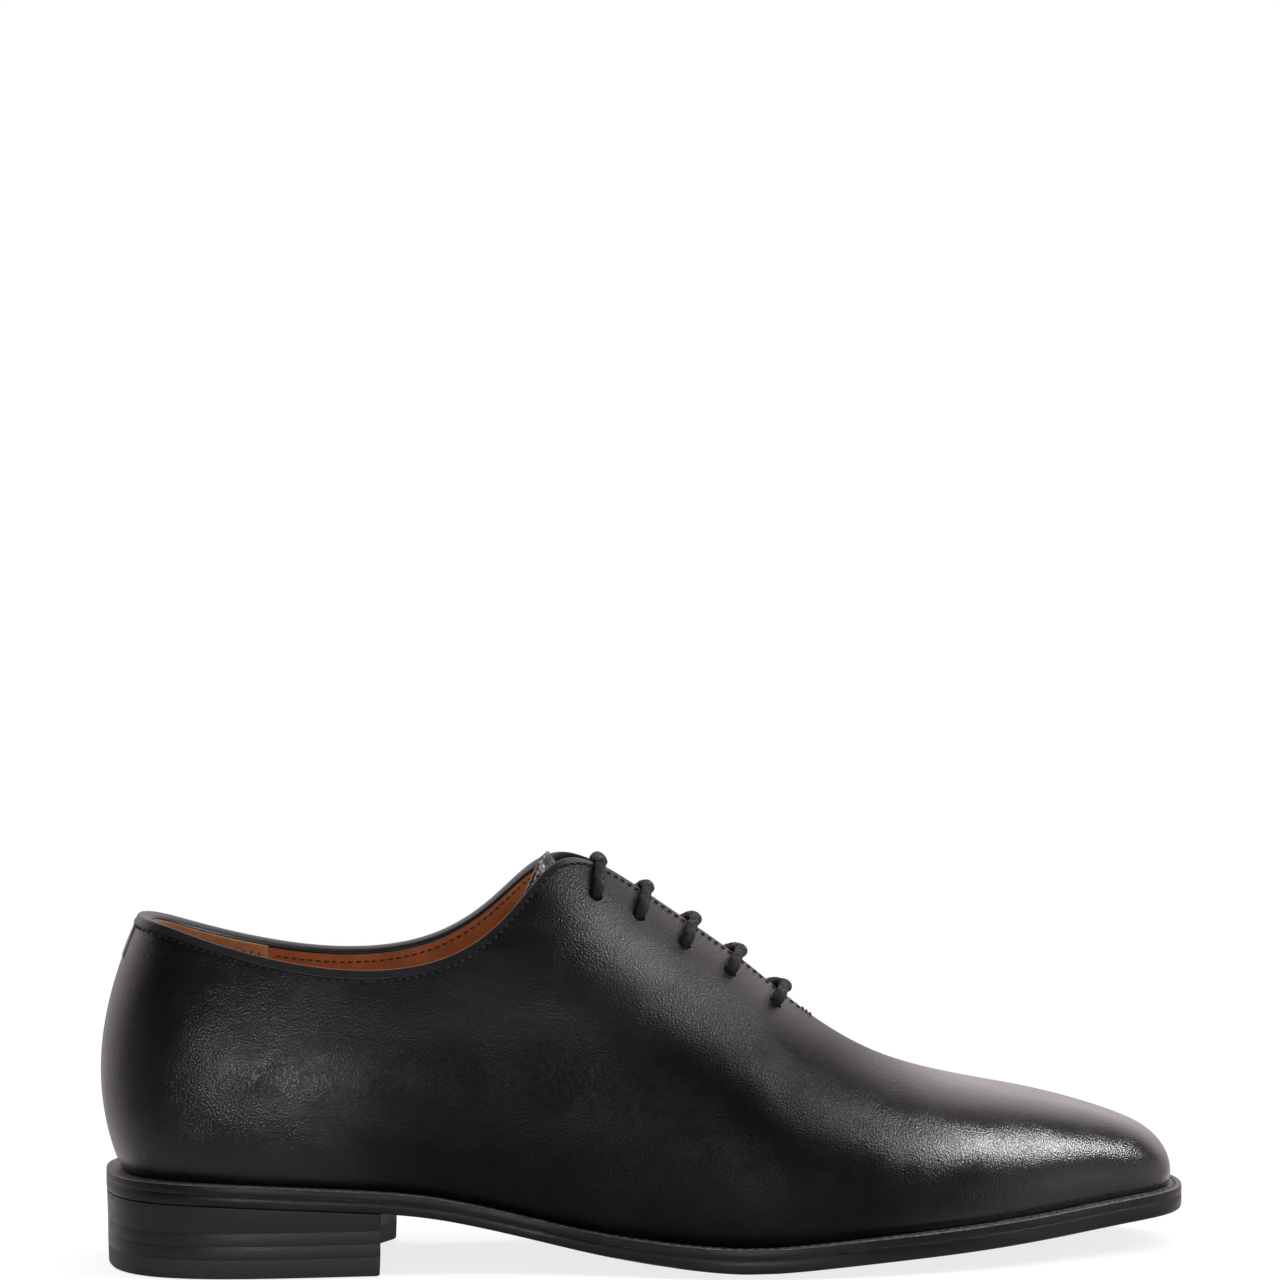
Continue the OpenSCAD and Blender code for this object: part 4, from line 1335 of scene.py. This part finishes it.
# ---- Heel
# The hollow front is an arc round a point well ahead of the heel
BREAST_R = 62
BREAST_TILT = math.radians(-7)
BREAST = 95 * np.array([math.cos(BREAST_TILT), math.sin(BREAST_TILT)])


def heel_ring(inset):
    """Plan of the heel: the back of the sole's outline and a hollow front."""
    s = np.linspace(-0.45, 0.45, 1801)
    p = feather(s) + outward(s) * (welt_reach(s) - inset)[:, None]
    kept = p[np.linalg.norm(p - BREAST, axis=1) > BREAST_R + inset]
    first, last = (math.atan2(v[1], v[0]) % (2 * math.pi) for v in (kept[0] - BREAST, kept[-1] - BREAST))
    angles = np.linspace(last, first, 60)[1:-1]
    hollow = BREAST + (BREAST_R + inset) * np.c_[np.cos(angles), np.sin(angles)]
    back = resample(kept, 1.0)
    at = np.linspace(0, 1, 190)
    back = np.stack([np.interp(at, np.linspace(0, 1, len(back)), back[:, k]) for k in (0, 1)], -1)
    return np.concatenate([back, hollow])


def heel_block(name, profile, low, high, material, slot, node):
    """A layer of the heel: rings of (inset, share of the height, rise) from the bottom to the top."""
    rings = []
    for inset, share, rise in profile:
        xy = heel_ring(inset)
        z0, z1 = low(xy[:, 0]), high(xy[:, 0])
        rings.append(np.c_[xy, z0 + (z1 - z0) * share + rise])
    points, faces = sweep(np.array(rings))
    obj = make(name, points, faces, material, slot, 40)
    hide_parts(node)
    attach(obj, HEEL)


def heel():
    """Rubber lift, two leather lifts and the wedge over them, with fine lines between."""
    top_lift = 5.5
    lift = 3.6
    gap = 0.1
    level = lambda z: (lambda x: np.full_like(x, z))
    rounded = [(1.3, 0, 0.0), (0.85, 0, 0.08), (0.5, 0, 0.5), (0.36, 1, -0.04), (0.42, 1, 0.03)]
    heel_block("rubber_top_lift", rounded, level(0.0), level(top_lift), RUBBER, "heel_rubber", "top_lift")
    parts = []
    low_edge = [(0.5, -0.07), (0.345, -0.03), (0.33, 0.03)]
    high_edge = [(0.32, lift - 0.02), (0.335, lift + 0.03), (0.5, lift + 0.05)]
    for k in (0, 1):
        z = top_lift + gap + k * (lift + gap)
        rings = []
        for inset, height in low_edge + high_edge:
            xy = heel_ring(inset)
            rings.append(np.c_[xy, np.full(len(xy), z + height)])
        parts.append(sweep(np.array(rings)))
    obj = make("leather_lifts", *join(parts), STACK, "heel_stack", 40)
    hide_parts("heel_lifts")
    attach(obj, HEEL)
    base = top_lift + 2 * (lift + gap) + gap
    wedge = [(0.5, 0, -0.07), (0.33, 0, -0.03), (0.3, 0, 0.03), (0.08, 1, -0.05), (0.12, 1, 0.0)]
    under = lambda x: sole_under(x) - 0.03
    heel_block("heel_wedge", wedge, level(base), under, STACK, "heel_stack", "heel_base")


outer_leather()
linings()
topline_bead()
heel_strap()
seams()
tongue()
lace()
bottom_layers()
sock()
welt()
outsole()
heel()

# ---- Stage, lights and camera
middle = Vector(((cad_low[0] + cad_high[0]) / 2, (cad_low[1] + cad_high[1]) / 2, 0))
# Brightness of the surroundings that the shoe reflects
BACKDROP = 1.35
ROOM = 0.03
LEFT = 0.25
RIGHT = 0.9


def studio_floor():
    """Pale floor that rises behind the shoe; away from the shoe it turns pure white."""
    profile = [(-6.0, 0.0), (2.5, 0.0)]
    profile += [(2.5 + 2 * math.sin(a), 2 - 2 * math.cos(a)) for a in np.linspace(0, math.pi / 2, 24)[1:]]
    profile.append((4.5, 8.0))
    points = [(x, y, z) for y, z in profile for x in (-8.0, 8.0)]
    mesh = bpy.data.meshes.new("floor")
    mesh.from_pydata(points, [], grid_faces(len(profile), 2))
    mesh.shade_smooth()
    floor = bpy.data.objects.new("floor", mesh)
    floor.location.z = -0.0002
    bpy.context.scene.collection.objects.link(floor)
    k = Look("pale_floor")
    k.set(Base_Color=(0.92, 0.92, 0.92), Roughness=0.9, Specular_IOR_Level=0.1)
    rays = k.add("ShaderNodeLightPath")

    def distance(x_scale):
        """Distance from the middle of the shoe, with lengths along it scaled."""
        shift = k.add("ShaderNodeMapping", Vector=k.place)
        shift.inputs["Location"].default_value = (-middle.x * x_scale, -middle.y, 0)
        shift.inputs["Scale"].default_value = (x_scale, 1, 1)
        length = k.add("ShaderNodeVectorMath")
        length.operation = "LENGTH"
        k.put(length.inputs[0], shift.outputs["Vector"])
        return length.outputs["Value"]

    # The camera sees it as a white glow: four fifths of it near the shoe, a painted light that washes out
    # the shoe's shadow, and all of it away from the shoe; reflections see only the part near the shoe
    to_camera = k.times(k.span(distance(1), 0.1, 0.4, 0.8, 1.0), rays.outputs["Is Camera Ray"])
    to_gloss = k.times(k.span(distance(0.35), 0.09, 0.13, 0.72, 1.0), rays.outputs["Is Glossy Ray"])
    glow = k.add("ShaderNodeEmission", Color=(1, 1, 1), Strength=1.0)
    gone = k.add("ShaderNodeBsdfTransparent")

    def mixed(amount, first, second):
        node = k.add("ShaderNodeMixShader", Fac=amount)
        k.put(node.inputs[1], first.outputs[0])
        k.put(node.inputs[2], second.outputs[0])
        return node

    surface_mix = mixed(to_gloss, mixed(to_camera, k.shader, glow), gone)
    k.put(k.tree.nodes["Material Output"].inputs["Surface"], surface_mix.outputs[0])
    mesh.materials.append(k.material)
    floor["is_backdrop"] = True


def softbox(name, place, aim, width, height, radiance, colour=(1, 1, 1), shows=True):
    """A rectangular light; a fill that doesn't show in reflections has shows=False."""
    data = bpy.data.lights.new(name, "AREA")
    data.shape = "RECTANGLE"
    data.size, data.size_y = width, height
    data.energy = radiance * math.pi * width * height
    data.color = colour
    light = bpy.data.objects.new(name, data)
    light.location = place
    light.rotation_euler = (Vector(aim) - Vector(place)).to_track_quat("-Z", "Y").to_euler()
    bpy.context.scene.collection.objects.link(light)
    light.visible_camera = False
    light.visible_glossy = shows


def backdrop():
    """White for the camera and low behind the shoe, dimmer at the sides, dark elsewhere."""
    world = bpy.data.worlds.new("studio")
    world.use_nodes = True
    bpy.context.scene.world = world
    k = Nodes(world.node_tree)
    direction = k.add("ShaderNodeTexCoord").outputs["Generated"]
    x, y, z = k.add("ShaderNodeSeparateXYZ", Vector=direction).outputs
    low = k.times(k.span(z, -0.3, 0.0), k.span(z, 0.0, 0.6, 1.0, 0.0))
    behind = k.times(k.span(y, 0.26, 0.5), k.span(z, 0.79, 0.86, 1.0, 0.0))
    screen = k.times(behind, k.span(z, 0.0, 0.42, 0.45, 1.0))
    sides = k.plus(k.span(x, 0.55, 0.85, 0.0, RIGHT), k.span(x, -0.95, -0.7, LEFT, 0.0))
    sides = k.times(k.times(sides, k.span(y, 0.2, 0.5, 1.0, 0.0)), low)
    level = k.plus(k.plus(k.times(screen, BACKDROP), sides), ROOM)
    camera_ray = k.add("ShaderNodeLightPath").outputs["Is Camera Ray"]
    strength = k.add("ShaderNodeMix", Factor=camera_ray, A=level, B=1.0)
    k.fill(k.tree.nodes["Background"], {"Strength": strength.outputs[0], "Color": (1, 0.9, 0.93)})


def camera():
    """The shoe seen from its outer side and sitting low in the picture."""
    azimuth, elevation = math.radians(-7), math.radians(8.5)
    away = Vector((
        math.sin(azimuth) * math.cos(elevation),
        -math.cos(azimuth) * math.cos(elevation),
        math.sin(elevation),
    ))
    data = bpy.data.cameras.new("camera")
    data.lens = 200
    data.clip_start = 0.05
    view = bpy.data.objects.new("camera", data)
    distance = 2.02
    view.location = Vector((middle.x - 0.0018, 0.0, 0.0555)) + away * distance
    tilt = math.radians(3.365)
    forward = -away * math.cos(tilt) + Vector((0, 0, 1)) * math.sin(tilt)
    view.rotation_euler = forward.to_track_quat("-Z", "Y").to_euler()
    bpy.context.scene.collection.objects.link(view)
    bpy.context.scene.camera = view


studio_floor()
backdrop()
softbox("key", (1.05, -0.32, 1.0), (0.2, 0, 0.04), 0.22, 0.7, 27.0, (1, 0.98, 1))
softbox("beside_camera", (-0.08, -1.6, 0.17), (0.1, 0, 0.05), 0.5, 0.26, 13.0)
softbox("fill_top", (0.1, 0.2, 2.2), (0.1, 0, 0), 2.2, 2.2, 5.0, shows=False)
softbox("fill_front", (0.1, -1.6, 1.1), (0.05, 0, 0.08), 1.6, 1.0, 1.5, shows=False)
camera()
bpy.context.scene.view_settings.view_transform = "Standard"

low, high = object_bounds()
sizes = {"cad": [list(cad_low), list(cad_high)], "visual": [list(low), list(high)]}
